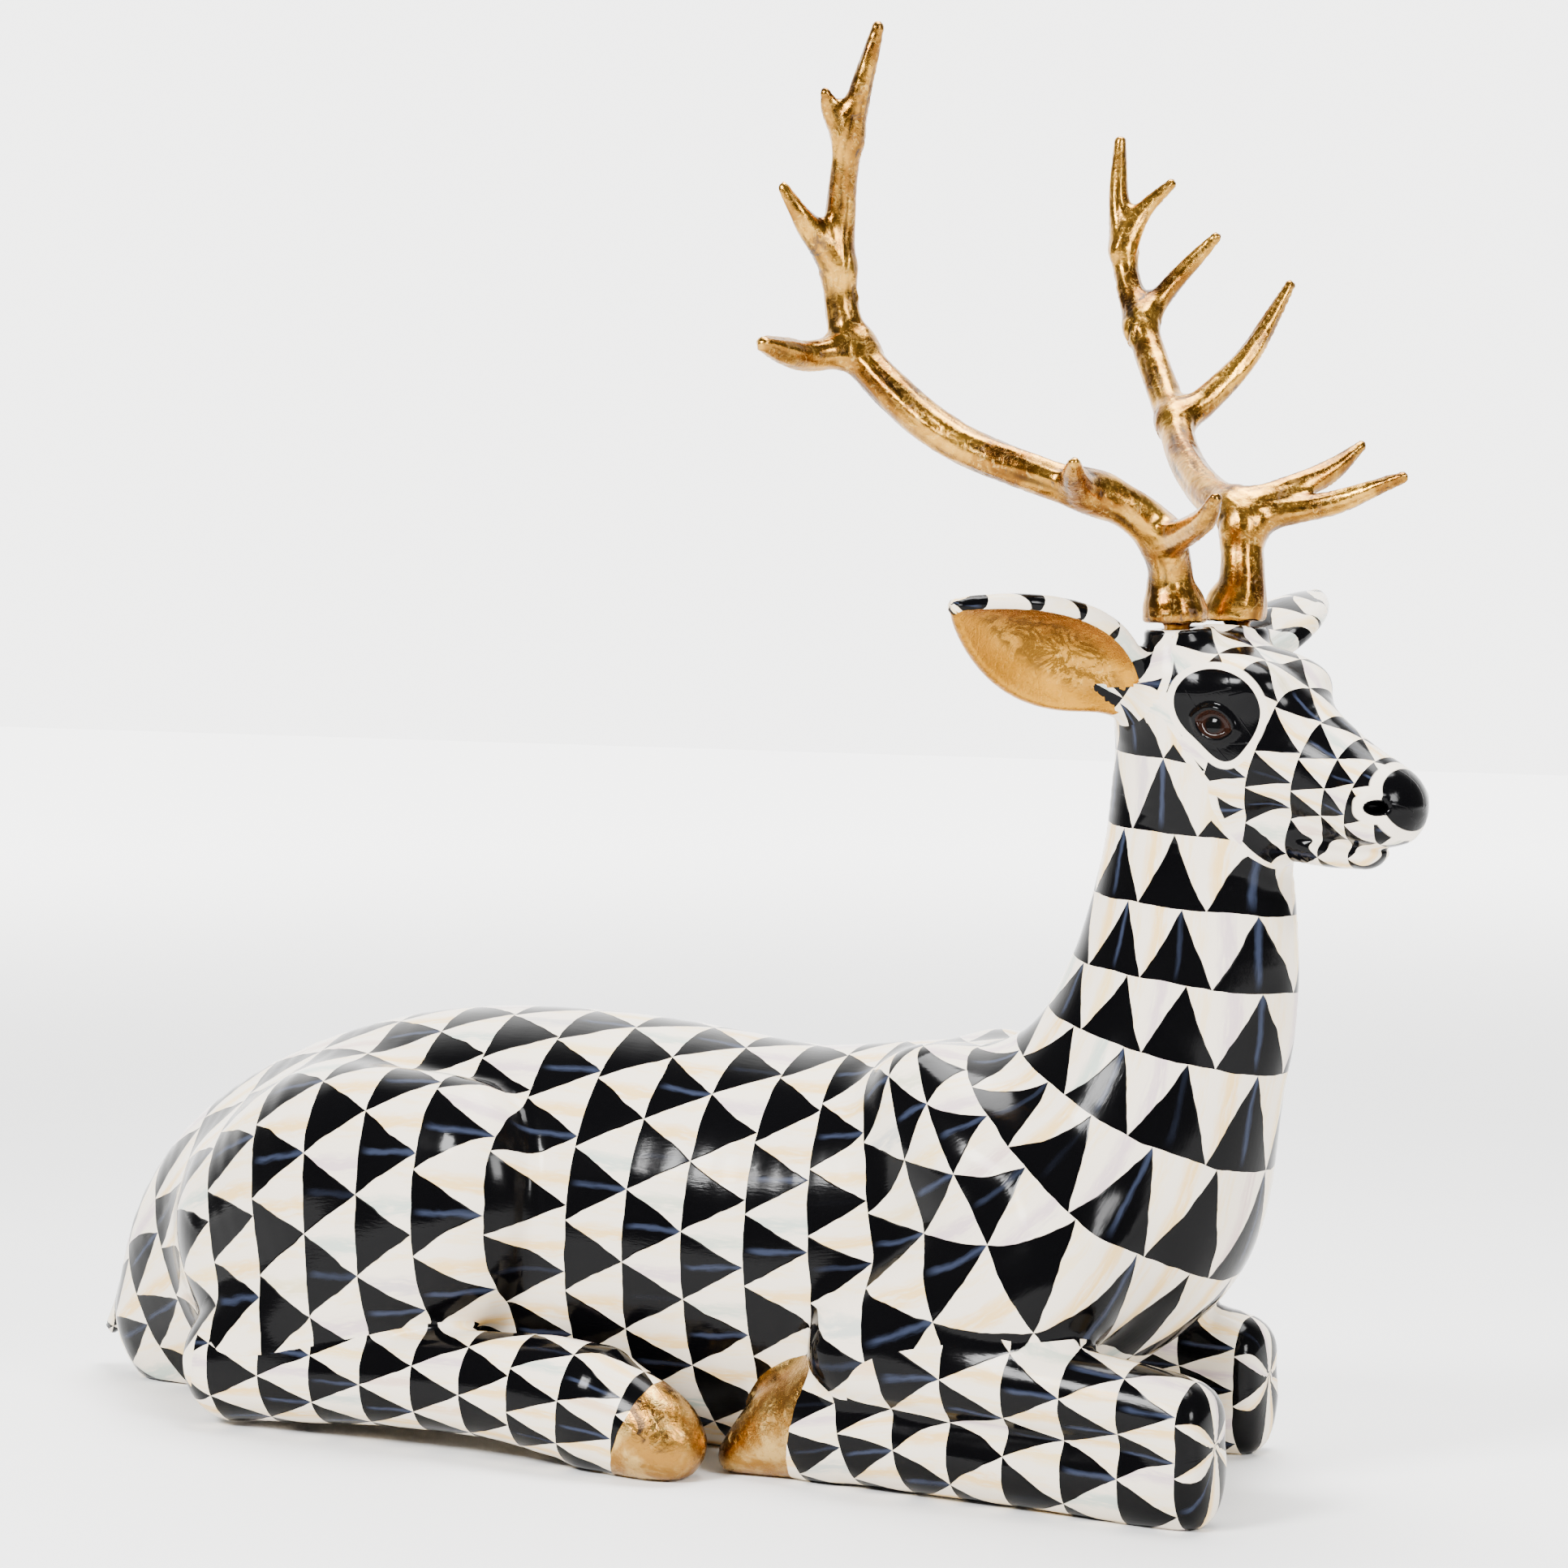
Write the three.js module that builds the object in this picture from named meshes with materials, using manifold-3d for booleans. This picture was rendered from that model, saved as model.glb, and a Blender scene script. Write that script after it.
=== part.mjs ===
// A life-like garden stag, cast in one piece, lying with its legs folded and its head raised.
// Two branched antlers are castings of their own, each with a peg that stands in a socket
// on top of the skull. Millimetres, +X towards the chest, +Y to the stag's left, +Z up.
// The origin is on the flat underside, below the middle of the trunk.
//
// The figure is modelled the way a sculptor builds up clay: tapered limbs and pads are each
// given as a distance field, the fields are melted into each other with a chosen softness,
// and the skin where the field is zero is then meshed and thinned to its final facets.

import * as THREE from "three";
import Module from "manifold-3d";
import { mergeVertices } from "three/addons/utils/BufferGeometryUtils.js";

// Driving dimensions of the figure. Every station below is drawn for a stag of DRAWN_LENGTH
// from tail tip to muzzle and follows FIGURE_LENGTH.
const FIGURE_LENGTH = 1160;
const DRAWN_LENGTH = 1160;
const HEAD_TURN_DEG = -15;
const FAR_LEG_SET_BACK = 71;
const KNEE_FRONT = 452;

// Fit of the antlers. The collar of an antler stands a little above its seat on the skull.
const PEG_DIAMETER = 18;
const PEG_DEPTH = 30;
const FIT_CLEARANCE = 0.3;
const COLLAR_GAP = 5;
const SEAT_HEIGHT = -6;
const SEAT_SPREAD = 33;

// Facets: the lattice that the skin is first found on, and what is left after thinning.
const BODY_LATTICE = 6.5;
const ANTLER_LATTICE = 4.5;
const BODY_TRIANGLES = 6400;
const ANTLER_TRIANGLES = 1200;

const UNIT = FIGURE_LENGTH / DRAWN_LENGTH;
const ALONG_SIDE = [0, 1, 0];
const CURVE_STEPS = 8;
const FAR_AWAY = 400 * UNIT;

// Trunk, neck and tail: stations are x, y, z, half width, half depth.
const TRUNK = [
  [-497, 0, 42, 57, 68],
  [-436, 0, 88, 82, 118],
  [-364, 0, 118, 107, 144],
  [-275, 0, 138, 122, 159],
  [-186, 0, 148, 130, 163],
  [-71, 0, 150, 132, 159],
  [69, 0, 144, 124, 152],
  [180, 0, 158, 112, 148],
  [262, 0, 186, 100, 124],
  [326, 0, 210, 88, 98],
];
const NECK = [
  [306, 0, 196, 84, 82],
  [336, 0, 255, 80, 88],
  [357, 0, 315, 70, 89],
  [371, 0, 368, 60, 82],
  [378, 0, 440, 51, 70],
  [375, 0, 500, 46, 59],
  [374, 0, 540, 44, 52],
];
const TAIL = [
  [-474, 0, 166, 20, 14],
  [-514, 0, 118, 24, 15],
  [-546, 0, 66, 22, 13],
  [-574, 0, 32, 8, 6],
];

// Limbs of one side, drawn for y outward and mirrored to the other side.
const SHOULDER_BLADE = [
  [196, 60, 275, 36, 32],
  [250, 86, 228, 40, 46],
  [312, 92, 180, 40, 52],
  [300, 104, 140, 38, 48],
];
const UPPER_ARM = [
  [306, 98, 156, 40, 50],
  [240, 112, 126, 38, 50],
  [175, 120, 98, 34, 36],
];
const FOREARM = [
  [172, 118, 92, 32, 30],
  [240, 122, 89, 34, 34],
  [330, 124, 84, 33, 32],
  [412, 126, 76, 31, 30],
  [436, 126, 71, 31, 28],
];
const FORE_SHIN = [
  [434, 126, 48, 31, 44],
  [418, 125, 34, 31, 38],
  [330, 122, 31, 30, 31],
  [230, 118, 34, 30, 33],
  [165, 114, 40, 31, 39],
  [140, 112, 43, 31, 43],
];
const FORE_HOOF = [
  [146, 112, 42, 31, 44],
  [118, 110, 36, 30, 38],
  [90, 108, 22, 29, 25],
  [74, 108, 13, 27, 16],
];
const THIGH = [
  [-350, 92, 120, 62, 88],
  [-270, 108, 160, 68, 108],
  [-190, 114, 178, 64, 96],
  [-150, 116, 186, 58, 84],
];
const SHANK = [
  [-170, 118, 150, 56, 62],
  [-240, 130, 105, 50, 56],
  [-310, 140, 66, 42, 48],
  [-350, 146, 46, 36, 40],
];
const HIND_SHIN = [
  [-345, 148, 46, 36, 42],
  [-290, 150, 46, 34, 39],
  [-200, 152, 50, 33, 37],
  [-110, 154, 52, 34, 39],
  [-60, 156, 50, 36, 43],
  [-20, 158, 46, 36, 44],
];
const HIND_HOOF = [
  [-20, 158, 44, 34, 45],
  [25, 160, 32, 32, 36],
  [40, 160, 25, 29, 28],
];

// The head has its own frame: a forwards, b to the left, c up, from midway between the
// antler seats. It is mirrored about b = 0.
const HEAD_PLACE = [385, 0, 613];
const FACE = [
  [8, 0, -57, 44, 44],
  [50, 0, -74, 42, 46],
  [92, 0, -99, 33, 42],
  [126, 0, -114, 28, 36],
  [150, 0, -126, 27, 29],
];
const JAW = [
  [8, 0, -116, 36, 38],
  [60, 0, -134, 27, 28],
  [106, 0, -148, 21, 19],
  [140, 0, -152, 18, 15],
];
const SKULL = { place: [-8, 0, -55], radii: [57, 46, 42] };
const MUZZLE = { place: [156, 0, -122], radii: [22, 27, 21] };
const CHEEK = { place: [28, 26, -100], radii: [48, 22, 42] };
const BROW = { place: [46, 33, -40], radii: [31, 17, 17] };
const EYE = { place: [48, 36, -68], radii: [20, 14, 16] };
const NOSTRIL = { place: [165, 25, -123], radii: [10, 7, 6] };
const MOUTH = { back: [90, -146], front: [172, -154], depth: 5, width: 4 };
const EAR_ROOT = [
  [-22, 30, -50, 22, 24],
  [-38, 62, -38, 18, 21],
  [-46, 92, -25, 12, 20],
];
const EAR = {
  root: [-28, 46, -48],
  tip: [-58, 197, 12],
  rightFacing: [0.65, 0.4, -0.67],
  leftFacing: [0.28, 0.42, -0.91],
  halfWidth: 38,
  cupDepth: 17,
  rootThickness: 9,
  tipThickness: 6,
};

// Antlers in the head's frame: each station is a, b, c, radius. The right one sweeps back
// and up; the left one spreads more. Each limb starts inside the beam that bears it.
const RIGHT_ANTLER = {
  side: -1,
  beam: [
    [-2, -33, 6, 23],
    [-4, -35, 23, 17.5],
    [-3, -39, 42, 15.5],
    [-5, -50, 62, 15.5],
    [-16, -80, 83, 14.5],
    [-46, -118, 99, 13.5],
    [-102, -148, 124, 13.5],
    [-148, -164, 159, 14],
    [-184, -170, 198, 13],
    [-190, -174, 251, 11],
    [-183, -176, 314, 10],
    [-170, -176, 361, 8.5],
    [-155, -172, 410, 4.5],
  ],
  tines: [
    [[-4, -44, 55, 13], [36, -66, 63, 10], [67, -84, 72, 8], [85, -96, 85, 4.5]],
    [[-24, -88, 88, 13], [-22, -110, 93, 11.5], [-11, -130, 101, 8.5], [3, -146, 109, 4.5]],
    [[-178, -166, 190, 12], [-192, -200, 184, 11], [-191, -225, 186, 10], [-190, -248, 191, 6]],
    [[-190, -174, 244, 10], [-197, -194, 270, 9.5], [-198, -206, 283, 7], [-205, -214, 300, 4]],
    [[-180, -176, 335, 8.5], [-185, -186, 352, 7.5], [-184, -194, 365, 4]],
  ],
};
const LEFT_ANTLER = {
  side: 1,
  beam: [
    [-2, 33, 6, 23],
    [3, 34, 23, 17.5],
    [1, 37, 47, 15.5],
    [-5, 42, 73, 15.5],
    [-49, 62, 88, 14],
    [-96, 92, 112, 12.5],
    [-140, 128, 147, 12.5],
    [-188, 156, 202, 12],
    [-219, 170, 254, 9.5],
    [-232, 176, 309, 8],
    [-229, 174, 353, 4.5],
  ],
  tines: [
    [[-2, 40, 66, 13], [17, 56, 74, 10.5], [55, 78, 83, 8.5], [98, 94, 100, 4]],
    [[-10, 46, 78, 13], [12, 62, 88, 10.5], [33, 92, 103, 8.5], [46, 114, 122, 4]],
    [[-131, 122, 142, 12], [-121, 144, 156, 11], [-105, 176, 191, 8.5], [-90, 204, 242, 4]],
    [[-196, 158, 212, 10.5], [-190, 178, 237, 8.5], [-176, 196, 262, 6.5], [-162, 206, 280, 4]],
    [[-222, 170, 272, 8.5], [-214, 184, 301, 7], [-199, 198, 321, 4]],
  ],
};

// How softly the parts melt into each other: the reach of the fillet between them.
const SOFT = {
  neck: 56, shoulder: 38, upperArm: 30, thigh: 14, rump: 64, knee: 8, kneeFront: 16, hoof: 6,
  foreleg: 16, hindleg: 12, tail: 8, head: 26, face: 26, jaw: 9, cheek: 24,
  brow: 14, pedicle: 16, ear: 12, eye: 4, nostril: 5, tine: 12,
};
const RUMP_FROM = -190;
const RUMP_TO = -330;

// Small helpers.
const scaled = (values) => values.map((value) => value * UNIT);
const clamp = (value, low, high) => Math.min(high, Math.max(low, value));

function melt(a, b, reach) {
  const r = reach * UNIT;
  const h = Math.max(r - Math.abs(a - b), 0) / r;
  return Math.min(a, b) - h * h * r * 0.25;
}

function ease(value, from, to) {
  const t = clamp((value - from) / (to - from), 0, 1);
  return t * t * (3 - 2 * t);
}

function unitVector(v) {
  const size = Math.hypot(...v);
  return v.map((c) => c / size);
}

function cross(a, b) {
  return [a[1] * b[2] - a[2] * b[1], a[2] * b[0] - a[0] * b[2], a[0] * b[1] - a[1] * b[0]];
}

const dot = (a, b) => a[0] * b[0] + a[1] * b[1] + a[2] * b[2];

// A smooth run of stations through the given ones.
function smoothStations(stations) {
  const drawn = stations.map(scaled);
  const last = drawn.length - 1;
  const before = drawn[0].map((c, i) => 2 * c - drawn[1][i]);
  const after = drawn[last].map((c, i) => 2 * c - drawn[last - 1][i]);
  const ext = [before, ...drawn, after];
  const run = [];
  for (let k = 0; k < last; k++) {
    for (let j = 0; j < CURVE_STEPS; j++) {
      const t = j / CURVE_STEPS;
      run.push(drawn[0].map((_, i) => curveValue(ext[k][i], ext[k + 1][i], ext[k + 2][i], ext[k + 3][i], t)));
    }
  }
  run.push(drawn[last]);
  return run;
}

function curveValue(p0, p1, p2, p3, t) {
  const bend = (2 * p0 - 5 * p1 + 4 * p2 - p3) * t * t;
  return 0.5 * (2 * p1 + (p2 - p0) * t + bend + (3 * p1 - p0 - 3 * p2 + p3) * t * t * t);
}

// The distance from a point to an ellipsoid, close to exact near its skin.
function ellipsoidDistance(x, y, z, rx, ry, rz) {
  const k1 = Math.hypot(x / rx, y / ry, z / rz);
  const k2 = Math.hypot(x / (rx * rx), y / (ry * ry), z / (rz * rz));
  const inside = k1 < 0.35 || k2 < 1e-12;
  return inside ? -Math.min(rx, ry, rz) * (1 - k1) : (k1 * (k1 - 1)) / k2;
}

// A limb: an elliptical section swept along stations. side is the direction of its width.
function limb(stations, side = ALONG_SIDE) {
  const run = smoothStations(stations.map((s) => (s.length === 4 ? [...s, s[3]] : s)));
  const pieces = run.slice(1).map((b, i) => {
    const a = run[i];
    const along = [b[0] - a[0], b[1] - a[1], b[2] - a[2]];
    const length = Math.hypot(...along);
    const axis = unitVector(along);
    const lean = dot(side, axis);
    const wide = unitVector(side.map((c, k) => c - lean * axis[k]));
    return { a, b, length, axis, wide, deep: cross(axis, wide) };
  });
  const reach = Math.max(...run.map((s) => Math.max(s[3], s[4])));
  const box = [0, 1, 2].map((k) => {
    const values = run.map((s) => s[k]);
    return [Math.min(...values) - reach, Math.max(...values) + reach];
  });
  function distance(x, y, z) {
    let best = FAR_AWAY;
    for (const { a, b, length, axis, wide, deep } of pieces) {
      const vx = x - a[0];
      const vy = y - a[1];
      const vz = z - a[2];
      const raw = (vx * axis[0] + vy * axis[1] + vz * axis[2]) / length;
      const t = raw < 0 ? 0 : raw > 1 ? 1 : raw;
      const w = vx * wide[0] + vy * wide[1] + vz * wide[2];
      const h = vx * deep[0] + vy * deep[1] + vz * deep[2];
      const rw = a[3] + (b[3] - a[3]) * t;
      const rh = a[4] + (b[4] - a[4]) * t;
      const d = ellipsoidDistance(w, h, (raw - t) * length, rw, rh, Math.min(rw, rh));
      if (d < best) best = d;
    }
    return best;
  }
  return { box, distance };
}

function pad({ place, radii }) {
  const at = scaled(place);
  const r = scaled(radii);
  const box = at.map((c, k) => [c - r[k], c + r[k]]);
  const distance = (x, y, z) => ellipsoidDistance(x - at[0], y - at[1], z - at[2], ...r);
  return { box, distance };
}

// A part's distance, skipped where its box is far from the point.
const BOX_MARGIN = 90 * UNIT;
function near(part, x, y, z) {
  const [bx, by, bz] = part.box;
  if (x < bx[0] - BOX_MARGIN || x > bx[1] + BOX_MARGIN) return FAR_AWAY;
  if (y < by[0] - BOX_MARGIN || y > by[1] + BOX_MARGIN) return FAR_AWAY;
  if (z < bz[0] - BOX_MARGIN || z > bz[1] + BOX_MARGIN) return FAR_AWAY;
  return part.distance(x, y, z);
}

// An ear: a leaf, widest in its middle, hollowed on its front like a spoon.
function earLeaf(facing) {
  const root = scaled(EAR.root);
  const tip = scaled(EAR.tip);
  const along = root.map((c, k) => tip[k] - c);
  const length = Math.hypot(...along);
  const axis = unitVector(along);
  const lean = dot(facing, axis);
  const front = unitVector(facing.map((c, k) => c - lean * axis[k]));
  const wide = cross(axis, front);
  const box = root.map((c, k) => {
    const spread = EAR.halfWidth * UNIT;
    return [Math.min(c, tip[k]) - spread, Math.max(c, tip[k]) + spread];
  });
  function distance(x, y, z) {
    const v = [x - root[0], y - root[1], z - root[2]];
    const raw = dot(v, axis) / length;
    const t = clamp(raw, 0, 1);
    const across = dot(v, wide);
    const swell = Math.pow(Math.sin(Math.PI * Math.pow(clamp(t, 0.001, 0.999), 0.85)), 0.8);
    const halfWidth = EAR.halfWidth * UNIT * swell;
    const rim = Math.max(halfWidth, 6 * UNIT);
    const hollow = EAR.cupDepth * UNIT * Math.sin(Math.PI * t) * Math.max(0, 1 - (across / rim) ** 2);
    const thick = (EAR.rootThickness + (EAR.tipThickness - EAR.rootThickness) * t) * UNIT;
    const out = Math.max(Math.abs(across) - halfWidth, 0);
    return 0.85 * (Math.hypot(out, dot(v, front) + hollow, (raw - t) * length) - thick);
  }
  return { box, distance };
}

// The parts as fields.
const trunk = limb(TRUNK);
const neck = limb(NECK);
const tail = limb(TAIL);
const shoulderBlade = limb(SHOULDER_BLADE);
const upperArm = limb(UPPER_ARM);
const forearm = limb(FOREARM);
const foreShin = limb(FORE_SHIN);
const foreHoof = limb(FORE_HOOF);
const thigh = limb(THIGH);
const shank = limb(SHANK);
const hindShin = limb(HIND_SHIN);
const hindHoof = limb(HIND_HOOF);
const face = limb(FACE);
const jaw = limb(JAW);
const skull = pad(SKULL);
const muzzle = pad(MUZZLE);
const cheek = pad(CHEEK);
const brow = pad(BROW);
const eye = pad(EYE);
const nostril = pad(NOSTRIL);
const earRoot = limb(EAR_ROOT, [1, 0, 0]);
const rightEar = earLeaf(EAR.rightFacing);
const leftEar = earLeaf(EAR.leftFacing);
const pedicle = limb([
  [0, SEAT_SPREAD, -45, 30],
  [0, SEAT_SPREAD, -26, 25],
  [0, SEAT_SPREAD, SEAT_HEIGHT - 18, 23],
  [0, SEAT_SPREAD, SEAT_HEIGHT + 4, 23],
]);

const turn = THREE.MathUtils.degToRad(HEAD_TURN_DEG);
const HEAD_FORWARD = [Math.cos(turn), Math.sin(turn)];

function toHead(x, y, z) {
  const [hx, hy, hz] = scaled(HEAD_PLACE);
  const dx = x - hx;
  const dy = y - hy;
  return [
    dx * HEAD_FORWARD[0] + dy * HEAD_FORWARD[1],
    dy * HEAD_FORWARD[0] - dx * HEAD_FORWARD[1],
    z - hz,
  ];
}

// The parting of the lips: a groove pressed into the skin along a line seen from the side.
function mouthGroove(a, b, c) {
  const [a0, c0] = scaled(MOUTH.back);
  const [a1, c1] = scaled(MOUTH.front);
  const t = clamp(((a - a0) * (a1 - a0) + (c - c0) * (c1 - c0)) / ((a1 - a0) ** 2 + (c1 - c0) ** 2), 0, 1);
  const away = Math.hypot(a - a0 - t * (a1 - a0), c - c0 - t * (c1 - c0));
  return MOUTH.depth * UNIT * Math.exp(-((away / (MOUTH.width * UNIT)) ** 2));
}

function headField(x, y, z) {
  const [a, left, c] = toHead(x, y, z);
  const b = Math.abs(left);
  let d = near(skull, a, b, c);
  d = melt(d, near(face, a, b, c), SOFT.face);
  d = melt(d, near(muzzle, a, b, c), SOFT.face);
  d = melt(d, near(cheek, a, b, c), SOFT.cheek);
  d = melt(d, near(jaw, a, b, c), SOFT.jaw);
  d += mouthGroove(a, b, c);
  d = -melt(-d, near(nostril, a, b, c), SOFT.nostril);
  d = melt(d, near(brow, a, b, c), SOFT.brow);
  const seatTop = c - SEAT_HEIGHT * UNIT;
  d = melt(d, Math.max(near(pedicle, a, b, c), seatTop), SOFT.pedicle);
  d = melt(d, near(earRoot, a, b, c), SOFT.jaw);
  d = melt(d, near(left < 0 ? rightEar : leftEar, a, b, c), SOFT.ear);
  return melt(d, near(eye, a, b, c), SOFT.eye);
}

function bodyField(x, y, z) {
  const side = Math.abs(y);
  const legX = y < 0 ? x : x + FAR_LEG_SET_BACK * UNIT;
  let d = near(trunk, x, y, z);
  d = melt(d, near(neck, x, y, z), SOFT.neck);
  d = melt(d, near(shoulderBlade, x, side, z), SOFT.shoulder);
  d = melt(d, near(upperArm, x, side, z), SOFT.upperArm);
  const haunch = melt(near(thigh, x, side, z), near(shank, x, side, z), SOFT.upperArm);
  const rumpShare = ease(-x, -RUMP_FROM * UNIT, -RUMP_TO * UNIT);
  d = melt(d, haunch, SOFT.thigh + (SOFT.rump - SOFT.thigh) * rumpShare);
  let foreleg = melt(near(forearm, legX, side, z), near(foreShin, legX, side, z), SOFT.knee);
  foreleg = melt(foreleg, near(foreHoof, legX, side, z), SOFT.hoof);
  foreleg = -melt(-foreleg, KNEE_FRONT * UNIT - legX, SOFT.kneeFront);
  d = melt(d, foreleg, SOFT.foreleg);
  const hindleg = melt(near(hindShin, x, side, z), near(hindHoof, x, side, z), SOFT.hoof);
  d = melt(d, hindleg, SOFT.hindleg);
  d = melt(d, near(tail, x, y, z), SOFT.tail);
  return melt(d, headField(x, y, z), SOFT.head);
}

function antlerField({ beam, tines }) {
  const main = limb(beam);
  const branches = tines.map((stations) => limb(stations, [0.3, 0.2, 1]));
  return (x, y, z) => {
    const [a, b, c] = toHead(x, y, z);
    let d = near(main, a, b, c);
    for (const branch of branches) d = melt(d, near(branch, a, b, c), SOFT.tine);
    return d;
  };
}

// The skin of a field: one point in each lattice cell that the skin crosses, and one pair of
// triangles for each lattice edge that it crosses. Cells far from the skin are passed over.
const COARSE = 4;
const PINCH_DEPTH = 0.1;
function skinOf(field, low, high, step) {
  const count = low.map((c, k) => COARSE * Math.ceil((high[k] - c) / step / COARSE) + 1);
  const [nx, ny, nz] = count;
  const index = (i, j, k) => (i * ny + j) * nz + k;
  const values = new Float32Array(nx * ny * nz).fill(NaN);
  const sample = (i, j, k) => {
    const at = index(i, j, k);
    if (Number.isNaN(values[at])) {
      values[at] = field(low[0] + i * step, low[1] + j * step, low[2] + k * step);
    }
    return values[at];
  };
  const points = [];
  const cellPoint = new Map();
  const reach = step * COARSE * 1.8;
  const corners = [];
  for (let m = 0; m < 8; m++) corners.push([m & 1, (m >> 1) & 1, (m >> 2) & 1]);

  function addCell(i, j, k) {
    const at = corners.map(([a, b, c]) => sample(i + a, j + b, k + c));
    const inside = at.filter((v) => v < 0).length;
    if (inside === 0 || inside === 8) return;
    const sum = [0, 0, 0];
    let crossings = 0;
    for (let m = 0; m < 8; m++) {
      for (let axis = 0; axis < 3; axis++) {
        const n = m | (1 << axis);
        if (n === m || at[m] < 0 === at[n] < 0) continue;
        const t = at[m] / (at[m] - at[n]);
        for (let q = 0; q < 3; q++) sum[q] += corners[m][q] + (q === axis ? t : 0);
        crossings += 1;
      }
    }
    cellPoint.set(index(i, j, k), points.length / 3);
    const cell = [i, j, k];
    for (let q = 0; q < 3; q++) points.push(low[q] + (cell[q] + sum[q] / crossings) * step);
  }

  const blocks = [];
  for (let i = 0; i < nx - 1; i += COARSE) {
    for (let j = 0; j < ny - 1; j += COARSE) {
      for (let k = 0; k < nz - 1; k += COARSE) {
        const half = (COARSE / 2) * step;
        const x = low[0] + i * step + half;
        const y = low[1] + j * step + half;
        const z = low[2] + k * step + half;
        if (Math.abs(field(x, y, z)) < reach) blocks.push([i, j, k]);
      }
    }
  }
  const overBlocks = (visit) => {
    for (const [i0, j0, k0] of blocks) {
      for (let i = i0; i < i0 + COARSE; i++) {
        for (let j = j0; j < j0 + COARSE; j++) {
          for (let k = k0; k < k0 + COARSE; k++) visit(i, j, k);
        }
      }
    }
  };
  const around = [[0, 0], [1, 0], [1, 1], [0, 1]];
  let pinches = 0;
  // Corners that are inside but only meet across a lattice square would pinch the skin to a
  // line there, so the square's shallowest outside corner is counted as inside.
  function openPinch(i, j, k) {
    for (let axis = 0; axis < 3; axis++) {
      const square = around.map(([du, dv]) => {
        const at = [i, j, k];
        at[(axis + 1) % 3] += du;
        at[(axis + 2) % 3] += dv;
        return at;
      });
      const depth = square.map((at) => sample(...at));
      const [a, b, c, d] = depth.map((v) => v < 0);
      if (a !== c || b !== d || a === b) continue;
      const first = a ? 1 : 0;
      const shallow = depth[first] < depth[first + 2] ? first : first + 2;
      values[index(...square[shallow])] = -PINCH_DEPTH * step;
      pinches += 1;
    }
  }
  do {
    pinches = 0;
    overBlocks(openPinch);
  } while (pinches > 0);
  overBlocks(addCell);
  const faces = [];
  overBlocks((i, j, k) => {
    for (let axis = 0; axis < 3; axis++) {
      const u = (axis + 1) % 3;
      const v = (axis + 2) % 3;
      const end = [i, j, k];
      end[axis] += 1;
      const here = sample(i, j, k) < 0;
      if (here === sample(...end) < 0) continue;
      const quad = around.map(([du, dv]) => {
        const cell = [i, j, k];
        cell[u] -= du;
        cell[v] -= dv;
        return cellPoint.get(index(...cell));
      });
      const [a, b, c, d] = here ? quad : quad.reverse();
      faces.push(a, b, c, a, c, d);
    }
  });
  return { points, faces };
}

// Each point is moved along the field's slope onto the skin itself.
const SLOPE_STEP = 0.5;
function settle(mesh, field) {
  const p = mesh.points;
  for (let i = 0; i < p.length; i += 3) {
    const [x, y, z] = [p[i], p[i + 1], p[i + 2]];
    const d = field(x, y, z);
    const gx = (field(x + SLOPE_STEP, y, z) - d) / SLOPE_STEP;
    const gy = (field(x, y + SLOPE_STEP, z) - d) / SLOPE_STEP;
    const gz = (field(x, y, z + SLOPE_STEP) - d) / SLOPE_STEP;
    const size = Math.max(gx * gx + gy * gy + gz * gz, 0.3);
    const move = clamp(d / size, -4 * UNIT, 4 * UNIT);
    p[i] -= move * gx;
    p[i + 1] -= move * gy;
    p[i + 2] -= move * gz;
  }
  return mesh;
}

// Thinning: the edge whose loss changes the skin least is shrunk to a point, again and again.
// A quadric holds the sum of squared distances to the planes around a point.
const EVENNESS = 0.004;

class Queue {
  constructor() {
    this.items = [];
  }
  push(item) {
    const list = this.items;
    let i = list.length;
    list.push(item);
    while (i > 0) {
      const up = (i - 1) >> 1;
      if (list[up].cost <= item.cost) break;
      list[i] = list[up];
      i = up;
    }
    list[i] = item;
  }
  pop() {
    const list = this.items;
    const first = list[0];
    const item = list.pop();
    if (!list.length) return first;
    let i = 0;
    for (;;) {
      let down = 2 * i + 1;
      if (down >= list.length) break;
      if (down + 1 < list.length && list[down + 1].cost < list[down].cost) down += 1;
      if (list[down].cost >= item.cost) break;
      list[i] = list[down];
      i = down;
    }
    list[i] = item;
    return first;
  }
}

function planeQuadric(normal, offset, area) {
  const [a, b, c] = normal;
  const d = offset;
  return [a * a, a * b, a * c, a * d, b * b, b * c, b * d, c * c, c * d, d * d].map((v) => v * area);
}

function pointQuadric([x, y, z], weight) {
  return [1, 0, 0, -x, 1, 0, -y, 1, -z, x * x + y * y + z * z].map((v) => v * weight);
}

function quadricCost(q, [x, y, z]) {
  const square = q[0] * x * x + q[4] * y * y + q[7] * z * z;
  const mixed = 2 * (q[1] * x * y + q[2] * x * z + q[5] * y * z);
  return square + mixed + 2 * (q[3] * x + q[6] * y + q[8] * z) + q[9];
}

// The point where a quadric is least, by Cramer's rule.
function quadricBest(q, fallback) {
  const c0 = [q[0], q[1], q[2]];
  const c1 = [q[1], q[4], q[5]];
  const c2 = [q[2], q[5], q[7]];
  const size = dot(c0, cross(c1, c2));
  if (Math.abs(size) < 1e-9) return fallback;
  const right = [-q[3], -q[6], -q[8]];
  return [
    dot(right, cross(c1, c2)) / size,
    dot(c0, cross(right, c2)) / size,
    dot(c0, cross(c1, right)) / size,
  ];
}

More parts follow.
